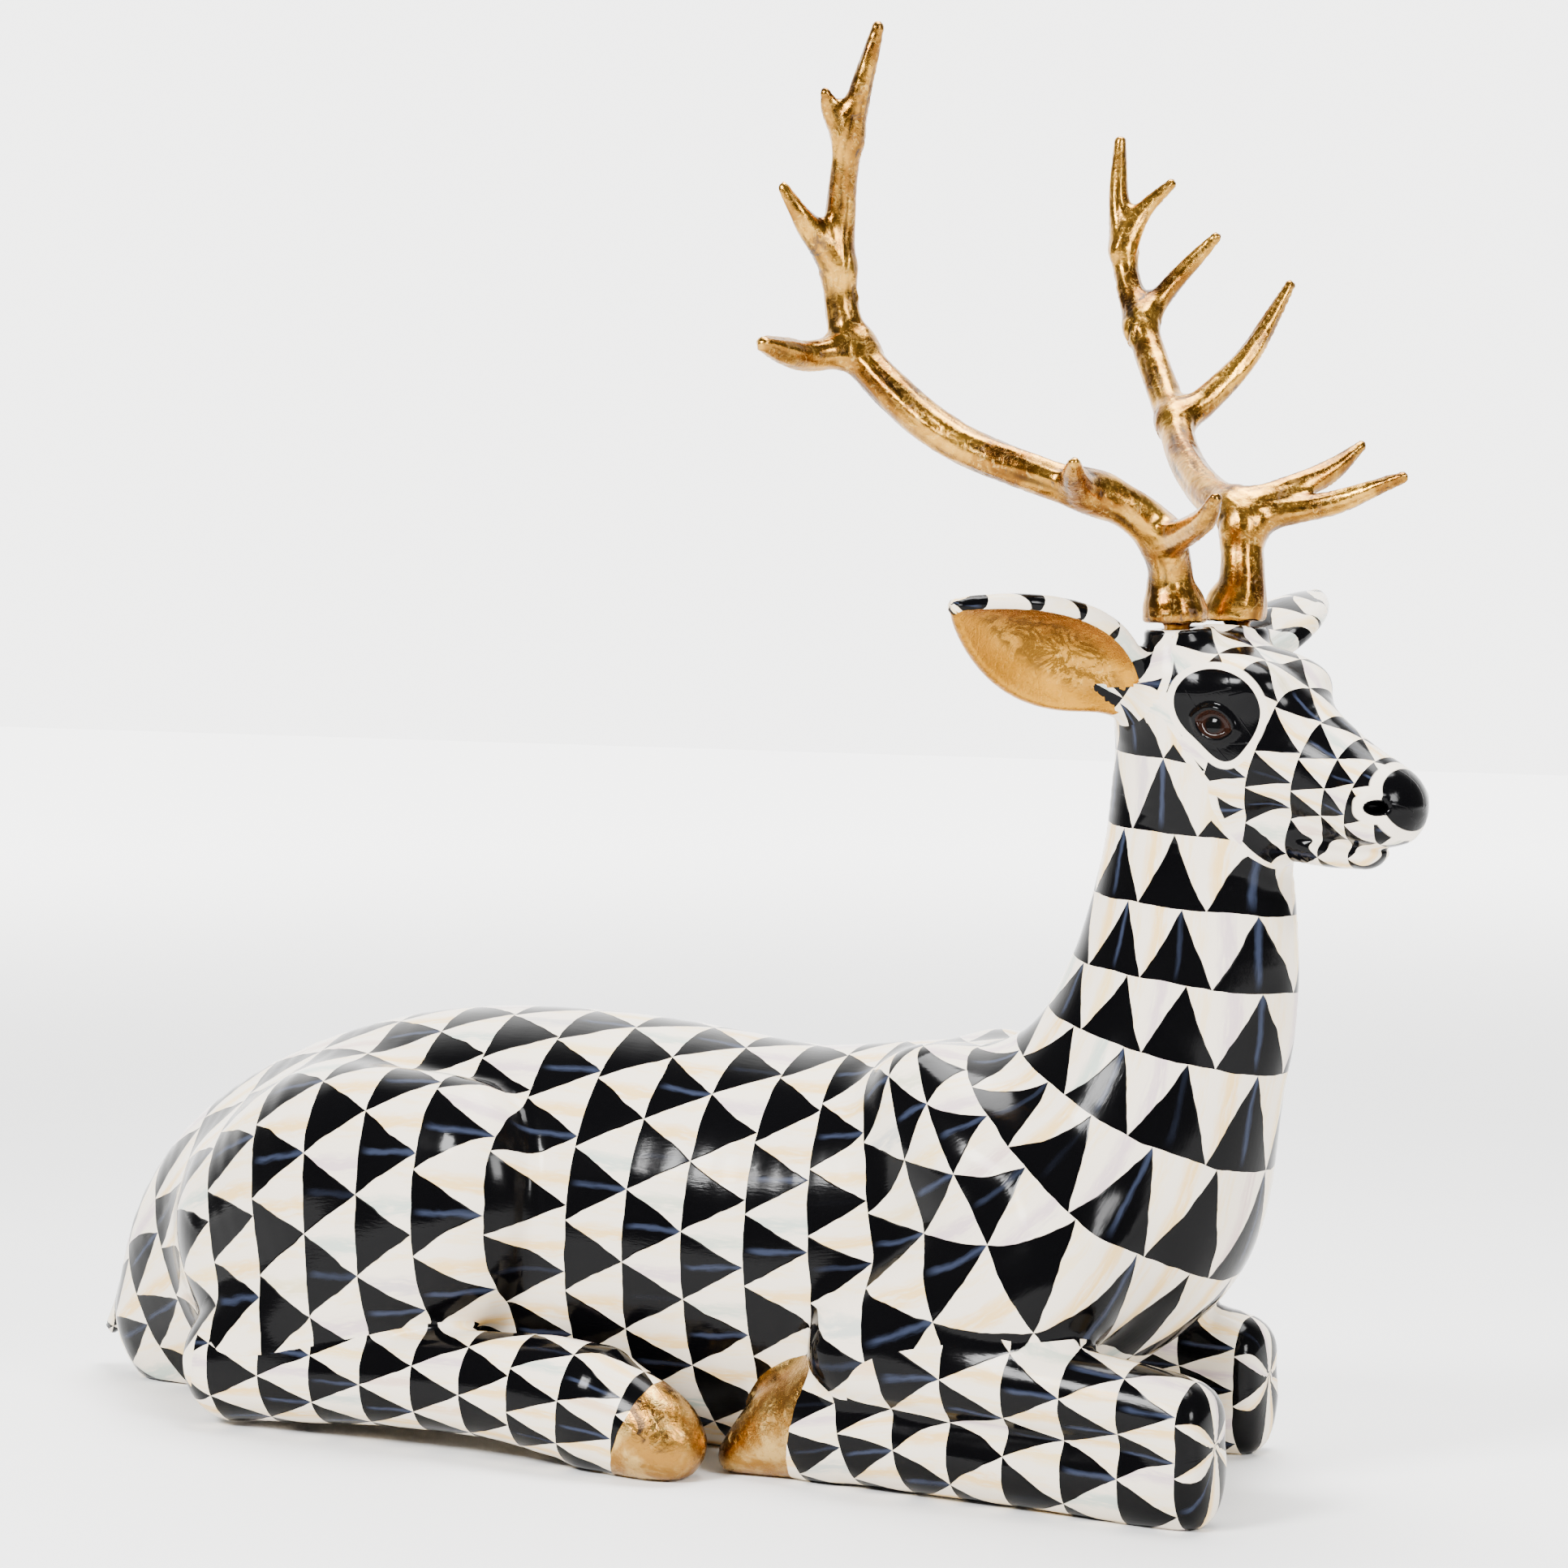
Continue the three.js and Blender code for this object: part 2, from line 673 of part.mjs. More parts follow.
function thin({ points, faces }, target) {
  const place = [];
  for (let i = 0; i < points.length; i += 3) place.push([points[i], points[i + 1], points[i + 2]]);
  const triangles = [];
  for (let i = 0; i < faces.length; i += 3) triangles.push([faces[i], faces[i + 1], faces[i + 2]]);
  const around = place.map(() => new Set());
  const quadrics = place.map(() => new Array(10).fill(0));
  const version = new Int32Array(place.length);
  const edgeVectors = (a, b, c) => [b.map((v, k) => v - a[k]), c.map((v, k) => v - a[k])];
  const faceNormal = (a, b, c) => cross(...edgeVectors(a, b, c));

  triangles.forEach((corners, t) => {
    const [a, b, c] = corners.map((v) => place[v]);
    const raw = faceNormal(a, b, c);
    const area = Math.max(Math.hypot(...raw), 1e-9);
    const normal = raw.map((v) => v / area);
    const plane = planeQuadric(normal, -dot(normal, a), area);
    for (const v of corners) {
      around[v].add(t);
      const even = pointQuadric(place[v], EVENNESS * area);
      for (let k = 0; k < 10; k++) quadrics[v][k] += plane[k] + even[k];
    }
  });

  const neighbours = (v) => {
    const found = new Set();
    for (const t of around[v]) for (const w of triangles[t]) if (w !== v) found.add(w);
    return found;
  };
  const queue = new Queue();
  const offer = (a, b) => {
    const sum = quadrics[a].map((v, k) => v + quadrics[b][k]);
    const middle = place[a].map((v, k) => (v + place[b][k]) / 2);
    const best = quadricBest(sum, middle);
    const shift = Math.hypot(...best.map((v, k) => v - middle[k]));
    const span = Math.hypot(...place[a].map((v, k) => v - place[b][k]));
    const at = shift > 2 * span ? middle : best;
    queue.push({ cost: quadricCost(sum, at), a, b, at, sum, stampA: version[a], stampB: version[b] });
  };
  const wouldFold = (v, other, at) => {
    for (const t of around[v]) {
      const corners = triangles[t];
      if (corners.includes(other)) continue;
      const before = faceNormal(...corners.map((w) => place[w]));
      const after = faceNormal(...corners.map((w) => (w === v ? at : place[w])));
      const sizes = Math.hypot(...before) * Math.hypot(...after);
      if (dot(before, after) < 0.3 * sizes || Math.hypot(...after) < 1e-3) return true;
    }
    return false;
  };

  place.forEach((_, v) => {
    for (const w of neighbours(v)) if (v < w) offer(v, w);
  });
  let left = triangles.length;
  while (left > target && queue.items.length) {
    const { a, b, at, sum, stampA, stampB } = queue.pop();
    if (version[a] !== stampA || version[b] !== stampB) continue;
    const ringB = neighbours(b);
    const shared = [...neighbours(a)].filter((w) => ringB.has(w)).length;
    if (shared !== 2 || wouldFold(a, b, at) || wouldFold(b, a, at)) continue;
    for (const t of [...around[b]]) {
      const corners = triangles[t];
      if (corners.includes(a)) {
        for (const v of corners) around[v].delete(t);
        triangles[t] = null;
        left -= 1;
      } else {
        triangles[t] = corners.map((v) => (v === b ? a : v));
        around[a].add(t);
      }
    }
    around[b].clear();
    place[a] = at;
    quadrics[a] = sum;
    version[a] += 1;
    version[b] += 1;
    for (const w of neighbours(a)) offer(a, w);
  }
  return { points: place.flat(), faces: triangles.filter(Boolean).flat() };
}

// Exact cuts and joins on closed meshes.
const wasm = await Module();
wasm.setup();

function solidOf(geometry) {
  const bare = geometry.clone();
  bare.deleteAttribute("normal");
  bare.deleteAttribute("uv");
  const merged = mergeVertices(bare);
  return new wasm.Manifold(
    new wasm.Mesh({
      numProp: 3,
      vertProperties: new Float32Array(merged.attributes.position.array),
      triVerts: new Uint32Array(merged.index.array),
    }),
  );
}

function geometryOf(solid) {
  const { vertProperties, triVerts } = solid.getMesh();
  const geometry = new THREE.BufferGeometry();
  geometry.setAttribute("position", new THREE.BufferAttribute(vertProperties, 3));
  geometry.setIndex(new THREE.BufferAttribute(triVerts, 1));
  geometry.computeVertexNormals();
  return geometry;
}

// Points that lie almost on a level cut are moved below it, so that the cut leaves no slivers.
const CUT_MARGIN = 1;
function clearOfCut(points, level) {
  for (let i = 2; i < points.length; i += 3) {
    if (Math.abs(points[i] - level) < CUT_MARGIN) points[i] = level - CUT_MARGIN;
  }
}

function sculpt(field, low, high, step, triangles, cutLevel) {
  const skin = skinOf(field, scaled(low), scaled(high), step * UNIT);
  settle(settle(skin, field), field);
  const { points, faces } = thin(skin, triangles);
  clearOfCut(points, cutLevel);
  const geometry = new THREE.BufferGeometry();
  geometry.setAttribute("position", new THREE.Float32BufferAttribute(points, 3));
  geometry.setIndex(faces);
  return solidOf(geometry);
}

// A round rod that stands upright in the head's frame, over one antler seat.
const ROD_SIDES = 32;
function seatRod(side, diameter, bottom, top) {
  const rod = new THREE.CylinderGeometry(diameter / 2, diameter / 2, top - bottom, ROD_SIDES);
  rod.rotateX(Math.PI / 2);
  const [hx, hy, hz] = scaled(HEAD_PLACE);
  const spread = side * SEAT_SPREAD * UNIT;
  rod.translate(hx - HEAD_FORWARD[1] * spread, hy + HEAD_FORWARD[0] * spread, hz + (top + bottom) / 2);
  return solidOf(rod);
}

const seatTop = SEAT_HEIGHT * UNIT;
const pegBottom = seatTop - PEG_DEPTH;
const collarBottom = seatTop + COLLAR_GAP;

function makeBody() {
  let body = sculpt(bodyField, [-620, -240, -40], [600, 270, 660], BODY_LATTICE, BODY_TRIANGLES, 0);
  const groundDepth = 100 * UNIT;
  const ground = new THREE.BoxGeometry(3 * FIGURE_LENGTH, 3 * FIGURE_LENGTH, groundDepth);
  ground.translate(0, 0, -groundDepth / 2);
  body = body.subtract(solidOf(ground));
  for (const side of [-1, 1]) {
    const bore = PEG_DIAMETER + 2 * FIT_CLEARANCE;
    body = body.subtract(seatRod(side, bore, pegBottom - FIT_CLEARANCE, collarBottom));
  }
  return body;
}

// The antler's collar is cut level, and its peg reaches down through the gap into the socket.
function makeAntler(antler, low, high) {
  const level = HEAD_PLACE[2] * UNIT + collarBottom;
  const rough = sculpt(antlerField(antler), low, high, ANTLER_LATTICE, ANTLER_TRIANGLES, level);
  const below = new THREE.BoxGeometry(FIGURE_LENGTH, FIGURE_LENGTH, FIGURE_LENGTH);
  below.translate(HEAD_PLACE[0] * UNIT, 0, level - FIGURE_LENGTH / 2);
  const collarTop = collarBottom + PEG_DIAMETER / 2;
  return rough.subtract(solidOf(below)).add(seatRod(antler.side, PEG_DIAMETER, pegBottom, collarTop));
}

function named(name, solid, material) {
  const mesh = new THREE.Mesh(geometryOf(solid), material);
  mesh.name = name;
  return mesh;
}

const enamel = new THREE.MeshStandardMaterial({ color: 0xd8d0bd, roughness: 0.25, metalness: 0 });
const rightGold = new THREE.MeshStandardMaterial({ color: 0xb8893c, roughness: 0.38, metalness: 0.9 });
const leftGold = rightGold.clone();

const stag = new THREE.Group();
stag.add(named("stag_body", makeBody(), enamel));
stag.add(named("right_antler", makeAntler(RIGHT_ANTLER, [80, -330, 590], [540, 10, 1060]), rightGold));
stag.add(named("left_antler", makeAntler(LEFT_ANTLER, [80, -20, 590], [560, 330, 1010]), leftGold));

export default stag;
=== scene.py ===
import bpy
import numpy as np
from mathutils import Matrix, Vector


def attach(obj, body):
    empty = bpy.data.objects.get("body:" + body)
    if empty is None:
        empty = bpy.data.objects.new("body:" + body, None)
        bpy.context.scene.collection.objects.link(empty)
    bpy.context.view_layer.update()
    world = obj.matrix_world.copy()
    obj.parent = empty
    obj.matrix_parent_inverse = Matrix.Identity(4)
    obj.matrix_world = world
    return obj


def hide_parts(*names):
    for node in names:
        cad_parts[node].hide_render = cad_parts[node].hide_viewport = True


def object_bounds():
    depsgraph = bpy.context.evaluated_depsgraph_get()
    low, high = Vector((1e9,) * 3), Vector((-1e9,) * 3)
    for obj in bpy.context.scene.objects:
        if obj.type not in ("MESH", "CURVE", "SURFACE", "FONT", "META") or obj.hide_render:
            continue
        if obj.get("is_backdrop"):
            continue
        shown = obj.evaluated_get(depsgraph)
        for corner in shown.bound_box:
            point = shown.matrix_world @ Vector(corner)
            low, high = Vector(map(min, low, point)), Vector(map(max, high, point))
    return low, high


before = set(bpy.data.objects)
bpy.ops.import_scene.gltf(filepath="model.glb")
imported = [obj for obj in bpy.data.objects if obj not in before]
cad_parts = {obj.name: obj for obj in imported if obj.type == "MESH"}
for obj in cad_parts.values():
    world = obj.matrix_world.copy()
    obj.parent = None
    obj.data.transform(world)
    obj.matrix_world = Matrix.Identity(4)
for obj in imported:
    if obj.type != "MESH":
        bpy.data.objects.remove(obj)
cad_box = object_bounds()

# A resting stag in glossy black and ivory enamel, with gilded antlers, ears and hooves.
# The skin is built like the solids: limbs and pads as distance fields, melted together.
# Tables and fields are in millimetres, and meshes are turned to metres at the end.
MM = 0.001
CURVE_STEPS = 6
SLOPE_STEP = 0.4
FAR_AWAY = 400.0
BOX_MARGIN = 75.0
BODY_LATTICE = 5.5
ANTLER_LATTICE = 2.2
RANDOM_SEED = 11

HEAD_TURN = np.radians(-15)
HEAD_PLACE = np.array([385.0, 0.0, 613.0])
FAR_LEG_SET_BACK = 71.0
KNEE_FRONT = 452.0
HEAD_FROM_HEIGHT = 380.0
PEG_RADIUS = 9.0
PEG_BOTTOM, PEG_TOP = -36.0, 8.0
COLLAR_BOTTOM, COLLAR_SOFTNESS = -1.0, 2.5
SEAT_HEIGHT = -6.0
SEAT_SPREAD = 33.0
SOCKET_CLEARANCE = 0.6
SOCKET_BOTTOM, SOCKET_TOP = PEG_BOTTOM - 1, 12.0

# Trunk, neck and tail: stations are x, y, z, half width, half depth.
TRUNK = [
    (-497, 0, 42, 57, 68), (-436, 0, 88, 82, 118), (-364, 0, 118, 107, 144),
    (-275, 0, 138, 122, 159), (-186, 0, 148, 130, 163), (-71, 0, 150, 132, 159),
    (69, 0, 144, 124, 152), (180, 0, 158, 112, 148), (262, 0, 186, 100, 124),
    (326, 0, 210, 88, 98),
]
NECK = [
    (306, 0, 196, 84, 82), (336, 0, 255, 80, 88), (357, 0, 315, 70, 89),
    (371, 0, 368, 60, 82), (378, 0, 440, 51, 70), (375, 0, 500, 46, 59),
    (374, 0, 540, 44, 52),
]
TAIL = [(-474, 0, 166, 20, 14), (-514, 0, 118, 24, 15), (-546, 0, 66, 22, 13), (-574, 0, 32, 8, 6)]

# Limbs of one side, mirrored to the other side.
SHOULDER_BLADE = [
    (196, 60, 275, 36, 32), (250, 86, 228, 40, 46), (312, 92, 180, 40, 52), (300, 104, 140, 38, 48),
]
UPPER_ARM = [(306, 98, 156, 40, 50), (240, 112, 126, 38, 50), (175, 120, 98, 34, 36)]
FOREARM = [
    (172, 118, 92, 32, 30), (240, 122, 89, 34, 34), (330, 124, 84, 33, 32),
    (412, 126, 76, 31, 30), (436, 126, 71, 31, 28),
]
FORE_SHIN = [
    (434, 126, 48, 31, 44), (418, 125, 34, 31, 38), (330, 122, 31, 30, 31),
    (230, 118, 34, 30, 33), (165, 114, 40, 31, 39), (140, 112, 43, 31, 43),
]
FORE_HOOF = [(146, 112, 42, 31, 44), (118, 110, 36, 30, 38), (90, 108, 22, 29, 25), (74, 108, 13, 27, 16)]
THIGH = [
    (-350, 92, 120, 62, 88), (-270, 108, 160, 68, 108), (-190, 114, 178, 64, 96), (-150, 116, 186, 58, 84),
]
SHANK = [(-170, 118, 150, 56, 62), (-240, 130, 105, 50, 56), (-310, 140, 66, 42, 48), (-350, 146, 46, 36, 40)]
HIND_SHIN = [
    (-345, 148, 46, 36, 42), (-290, 150, 46, 34, 39), (-200, 152, 50, 33, 37),
    (-110, 154, 52, 34, 39), (-60, 156, 50, 36, 43), (-20, 158, 46, 36, 44),
]
HIND_HOOF = [(-20, 158, 44, 34, 45), (25, 160, 32, 32, 36), (40, 160, 25, 29, 28)]

# The head's own frame: a forwards, b to the left, c up, mirrored about b = 0.
FACE = [
    (8, 0, -57, 44, 44), (50, 0, -74, 42, 46), (92, 0, -99, 33, 42),
    (126, 0, -114, 28, 36), (150, 0, -126, 27, 29),
]
JAW = [(8, 0, -116, 36, 38), (60, 0, -134, 27, 28), (106, 0, -148, 21, 19), (140, 0, -152, 18, 15)]
SKULL = ((-8, 0, -55), (57, 46, 42))
MUZZLE = ((156, 0, -122), (22, 27, 21))
CHEEK = ((28, 26, -100), (48, 22, 42))
BROW = ((44, 30, -42), (36, 17, 15))
NOSTRIL = ((166, 24, -122), (9, 7, 4.5))
NOSTRIL_WING = ((159, 22, -119), (13, 9, 9))
PEDICLE = [(0, 33, -45, 30, 30), (0, 33, -26, 25, 25), (0, 33, -24, 23, 23), (0, 33, -2, 23, 23)]
MOUTH_BACK, MOUTH_FRONT = np.array([90.0, -146.0]), np.array([174.0, -153.0])
MOUTH_DEPTH, MOUTH_WIDTH = 3.8, 4.0
EAR_STEM = [(-22, 30, -50, 22, 24), (-40, 58, -40, 17, 20), (-52, 84, -28, 10, 16)]
EAR_ROOT, EAR_TIP = np.array([-28.0, 46, -48]), np.array([-58.0, 197, 12])
EAR_RIGHT_FACING, EAR_LEFT_FACING = np.array([0.65, 0.4, -0.67]), np.array([0.28, 0.42, -0.91])
EAR_HALF_WIDTH, EAR_CUP = 38.0, 17.0
EAR_ROOT_THICKNESS, EAR_TIP_THICKNESS = 9.0, 6.0

# The eye: an almond opening with lids, over a ball set a little proud.
EYE_PLACE = np.array([46.0, 47.0, -70.0])
EYE_OUT = np.array([0.30, 0.93, 0.14])
EYE_LONG = np.array([0.94, -0.22, -0.24])
EYE_HALF_LENGTH, EYE_HALF_HEIGHT = 16.0, 10.5
EYE_BALL_RADIUS, EYE_BALL_PROUD = 17.5, 2.2
EYE_REACH, EYE_RECESS = 30.0, 2.0
LID_RADIUS, LID_SOFTNESS = 1.9, 3.5
PUPIL_RADIUS = 6.0

# Antlers in the head's frame: each station is a, b, c, radius.
RIGHT_ANTLER = [
    [
        (-2, -33, 6, 23), (-4, -35, 23, 17.5), (-3, -39, 42, 15.5), (-5, -50, 62, 15.5), (-16, -80, 83, 14.5),
        (-46, -118, 99, 13.5), (-102, -148, 124, 13.5), (-148, -164, 159, 14), (-184, -170, 198, 13),
        (-190, -174, 251, 11), (-183, -176, 314, 10), (-170, -176, 361, 8.5), (-155, -172, 410, 4.5),
    ],
    [(-4, -44, 55, 13), (36, -66, 63, 10), (67, -84, 72, 8), (85, -96, 85, 4.5)],
    [(-24, -88, 88, 13), (-22, -110, 93, 11.5), (-11, -130, 101, 8.5), (3, -146, 109, 4.5)],
    [(-178, -166, 190, 12), (-192, -200, 184, 11), (-191, -225, 186, 10), (-190, -248, 191, 6)],
    [(-190, -174, 244, 10), (-197, -194, 270, 9.5), (-198, -206, 283, 7), (-205, -214, 300, 4)],
    [(-180, -176, 335, 8.5), (-185, -186, 352, 7.5), (-184, -194, 365, 4)],
]
LEFT_ANTLER = [
    [
        (-2, 33, 6, 23), (3, 34, 23, 17.5), (1, 37, 47, 15.5), (-5, 42, 73, 15.5), (-49, 62, 88, 14),
        (-96, 92, 112, 12.5), (-140, 128, 147, 12.5), (-188, 156, 202, 12), (-219, 170, 254, 9.5),
        (-232, 176, 309, 8), (-229, 174, 353, 4.5),
    ],
    [(-2, 40, 66, 13), (17, 56, 74, 10.5), (55, 78, 83, 8.5), (98, 94, 100, 4)],
    [(-10, 46, 78, 13), (12, 62, 88, 10.5), (33, 92, 103, 8.5), (46, 114, 122, 4)],
    [(-131, 122, 142, 12), (-121, 144, 156, 11), (-105, 176, 191, 8.5), (-90, 204, 242, 4)],
    [(-196, 158, 212, 10.5), (-190, 178, 237, 8.5), (-176, 196, 262, 6.5), (-162, 206, 280, 4)],
    [(-222, 170, 272, 8.5), (-214, 184, 301, 7), (-199, 198, 321, 4)],
]

# How softly the parts melt into each other.
SOFT = dict(
    neck=56, shoulder=38, upper_arm=30, thigh=9, rump=64, knee=8, hoof=6, knee_front=16, foreleg=16,
    hindleg=12, tail=8, head=26, face=26, jaw=7, cheek=24, brow=30, pedicle=16, ear=12, nostril=4,
    tine=12, peg=3,
)
RUMP_FROM, RUMP_TO = 190.0, 330.0

# The painted coat: rows of triangles run along a spine from the rump up the neck, and along
# each part that stands clear of it. Heights are given for the rows at both ends of a spine,
# and slimness is a triangle's base over its height.
BODY_SPINE = [
    (-500, 0, 62), (-440, 0, 95), (-370, 0, 120), (-275, 0, 138), (-120, 0, 148), (60, 0, 148),
    (185, 0, 160), (285, 0, 202), (343, 0, 278), (364, 0, 370), (371, 0, 450), (377, 0, 520),
]
FACE_SPINE = [(-45, 0, -48), (10, 0, -76), (62, 0, -96), (105, 0, -110), (152, 0, -124)]
FORELEG_SPINE = [(80, 110, 30), (150, 114, 45), (240, 121, 62), (330, 123, 60), (425, 126, 58)]
HIND_LEG_SPINE = [(-345, 148, 46), (-200, 152, 48), (-60, 156, 48), (20, 159, 38)]
EAR_SPINE = [(-30, 58, -44), (-48, 120, -20), (-57, 190, 9)]
TAIL_SPINE = [(-470, 0, 160), (-514, 0, 118), (-546, 0, 66), (-568, 0, 40)]
BODY_ROWS, FACE_ROWS, LEG_ROWS, EAR_ROWS, TAIL_ROWS = (50, 50), (37, 23), (46, 44), (36, 34), (36, 30)
BODY_SLIMNESS, FACE_SLIMNESS, LEG_SLIMNESS = 1.12, 1.05, 0.85
FIRST_ROW, ROWS_APART = 4, 40
SPINE_STEPS = 14
CAP_REACH = 150.0
BATCH = 20000


def unit(vector):
    return vector / np.linalg.norm(vector)


def ease(value, low, high):
    t = np.clip((value - low) / (high - low), 0, 1)
    return t * t * (3 - 2 * t)


def melt(a, b, reach):
    h = np.maximum(reach - np.abs(a - b), 0) / reach
    return np.minimum(a, b) - h * h * reach * 0.25


def smooth_run(stations, steps):
    """Stations on a smooth curve through the given ones."""
    s = np.array(stations, float)
    ext = np.vstack([2 * s[0] - s[1], s, 2 * s[-1] - s[-2]])
    t = (np.arange(steps) / steps)[:, None]
    run = []
    for p0, p1, p2, p3 in zip(ext, ext[1:], ext[2:], ext[3:]):
        bend = (2 * p0 - 5 * p1 + 4 * p2 - p3) * t**2 + (3 * p1 - p0 - 3 * p2 + p3) * t**3
        run.append(0.5 * (2 * p1 + (p2 - p0) * t + bend))
    return np.vstack(run + [s[-1:]])


def ellipsoid_distance(w, h, a, rw, rh, ra):
    k1 = np.sqrt((w / rw) ** 2 + (h / rh) ** 2 + (a / ra) ** 2)
    k2 = np.sqrt((w / rw**2) ** 2 + (h / rh**2) ** 2 + (a / ra**2) ** 2) + 1e-9
    core = -np.minimum(np.minimum(rw, rh), ra) * (1 - k1)
    return np.where(k1 < 0.35, core, k1 * (k1 - 1) / k2)


class Limb:
    """An elliptical section swept along stations. side is the direction of its width."""

    def __init__(self, stations, side=(0, 1, 0)):
        full = [s if len(s) == 5 else (*s, s[3]) for s in stations]
        self.run = smooth_run(full, CURVE_STEPS)
        self.side = np.array(side, float)
        reach = self.run[:, 3:].max()
        self.low = self.run[:, :3].min(0) - reach
        self.high = self.run[:, :3].max(0) + reach

    def distance(self, points):
        best = np.full(len(points), FAR_AWAY)
        for a, b in zip(self.run, self.run[1:]):
            along = b[:3] - a[:3]
            length = np.linalg.norm(along)
            axis = along / length
            wide = unit(self.side - (self.side @ axis) * axis)
            v = points - a[:3]
            raw = v @ axis / length
            t = np.clip(raw, 0, 1)
            rw = a[3] + (b[3] - a[3]) * t
            rh = a[4] + (b[4] - a[4]) * t
            ends = (raw - t) * length
            d = ellipsoid_distance(v @ wide, v @ np.cross(axis, wide), ends, rw, rh, np.minimum(rw, rh))
            np.minimum(best, d, out=best)
        return best


class Pad:
    """An ellipsoid of clay."""

    def __init__(self, place_and_radii):
        self.place, self.radii = (np.array(v, float) for v in place_and_radii)
        self.low, self.high = self.place - self.radii, self.place + self.radii

    def distance(self, points):
        w, h, a = (points - self.place).T
        return ellipsoid_distance(w, h, a, *self.radii)


class EarLeaf:
    """A leaf, widest in its middle and hollowed on its front like a spoon."""

    def __init__(self, facing):
        self.length = np.linalg.norm(EAR_TIP - EAR_ROOT)
        self.axis = (EAR_TIP - EAR_ROOT) / self.length
        self.front = unit(facing - (facing @ self.axis) * self.axis)
        self.wide = np.cross(self.axis, self.front)
        self.low = np.minimum(EAR_ROOT, EAR_TIP) - EAR_HALF_WIDTH
        self.high = np.maximum(EAR_ROOT, EAR_TIP) + EAR_HALF_WIDTH

    def measures(self, points):
        """How far along the leaf, outside its rim, and in front of its middle sheet a point is."""
        v = points - EAR_ROOT
        raw = v @ self.axis / self.length
        t = np.clip(raw, 0.001, 0.999)
        across = v @ self.wide
        half = EAR_HALF_WIDTH * np.sin(np.pi * t**0.85) ** 0.8
        rim = np.maximum(half, 6)
        hollow = EAR_CUP * np.sin(np.pi * t) * np.maximum(0, 1 - (across / rim) ** 2)
        return raw, t, np.abs(across) - half, v @ self.front + hollow, across

    def distance(self, points):
        raw, t, outside, front, _ = self.measures(points)
        thick = EAR_ROOT_THICKNESS + (EAR_TIP_THICKNESS - EAR_ROOT_THICKNESS) * t
        ends = (raw - t) * self.length
        return 0.85 * (np.sqrt(np.maximum(outside, 0) ** 2 + front**2 + ends**2) - thick)


def near(part, points):
    """A part's distance, worked out only where its box is close."""
    close = np.all((points > part.low - BOX_MARGIN) & (points < part.high + BOX_MARGIN), axis=1)
    out = np.full(len(points), FAR_AWAY)
    if close.any():
        out[close] = np.minimum(part.distance(points[close]), FAR_AWAY)
    return out


def mirrored(points):
    return points * [1, 0, 1] + np.abs(points) * [0, 1, 0]


def to_head(points):
    """World millimetres to the head's own frame."""
    x, y, z = (points - HEAD_PLACE).T
    forward, left = np.cos(HEAD_TURN), np.sin(HEAD_TURN)
    return np.stack([x * forward + y * left, y * forward - x * left, z], 1)


def from_head(points):
    a, b, c = np.array(points, float).T
    forward, left = np.cos(HEAD_TURN), np.sin(HEAD_TURN)
    return np.stack([a * forward - b * left, a * left + b * forward, c], 1) + HEAD_PLACE


def leg_frame(points):
    """The two forelegs are alike, and the far one lies further back."""
    legs = mirrored(points)
    legs[:, 0] += np.where(points[:, 1] < 0, 0, FAR_LEG_SET_BACK)
    return legs


trunk, neck, tail = Limb(TRUNK), Limb(NECK), Limb(TAIL)
shoulder_blade, upper_arm = Limb(SHOULDER_BLADE), Limb(UPPER_ARM)
forearm, fore_shin, fore_hoof = Limb(FOREARM), Limb(FORE_SHIN), Limb(FORE_HOOF)
thigh, shank, hind_shin, hind_hoof = Limb(THIGH), Limb(SHANK), Limb(HIND_SHIN), Limb(HIND_HOOF)
face, jaw, pedicle = Limb(FACE), Limb(JAW), Limb(PEDICLE)
ear_stem = Limb(EAR_STEM, (1, 0, 0))
right_ear, left_ear = EarLeaf(EAR_RIGHT_FACING), EarLeaf(EAR_LEFT_FACING)
skull, muzzle, cheek, brow = map(Pad, (SKULL, MUZZLE, CHEEK, BROW))
nostril, nostril_wing = Pad(NOSTRIL), Pad(NOSTRIL_WING)


def eye_measures(head_points):
    """Along, across and out of the eye's opening, and the signed distance to its almond outline."""
    out = unit(EYE_OUT)
    along = unit(EYE_LONG - (EYE_LONG @ out) * out)
    up = np.cross(along, out)
    up = up if up[2] > 0 else -up
    v = head_points - EYE_PLACE
    p, q, n = v @ along, v @ up, v @ out
    radius = (EYE_HALF_LENGTH**2 + EYE_HALF_HEIGHT**2) / (2 * EYE_HALF_HEIGHT)
    drop = radius - EYE_HALF_HEIGHT
    outline = np.hypot(p, np.abs(q) + drop) - radius
    return p, q, n, outline


def mouth_groove(head_points):
    line = MOUTH_FRONT - MOUTH_BACK
    v = head_points[:, [0, 2]] - MOUTH_BACK
    t = np.clip(v @ line / (line @ line), 0, 1)
    away = np.linalg.norm(v - t[:, None] * line, axis=1)
    return MOUTH_DEPTH * ease(t, -0.05, 0.25) * np.exp(-((away / MOUTH_WIDTH) ** 2))


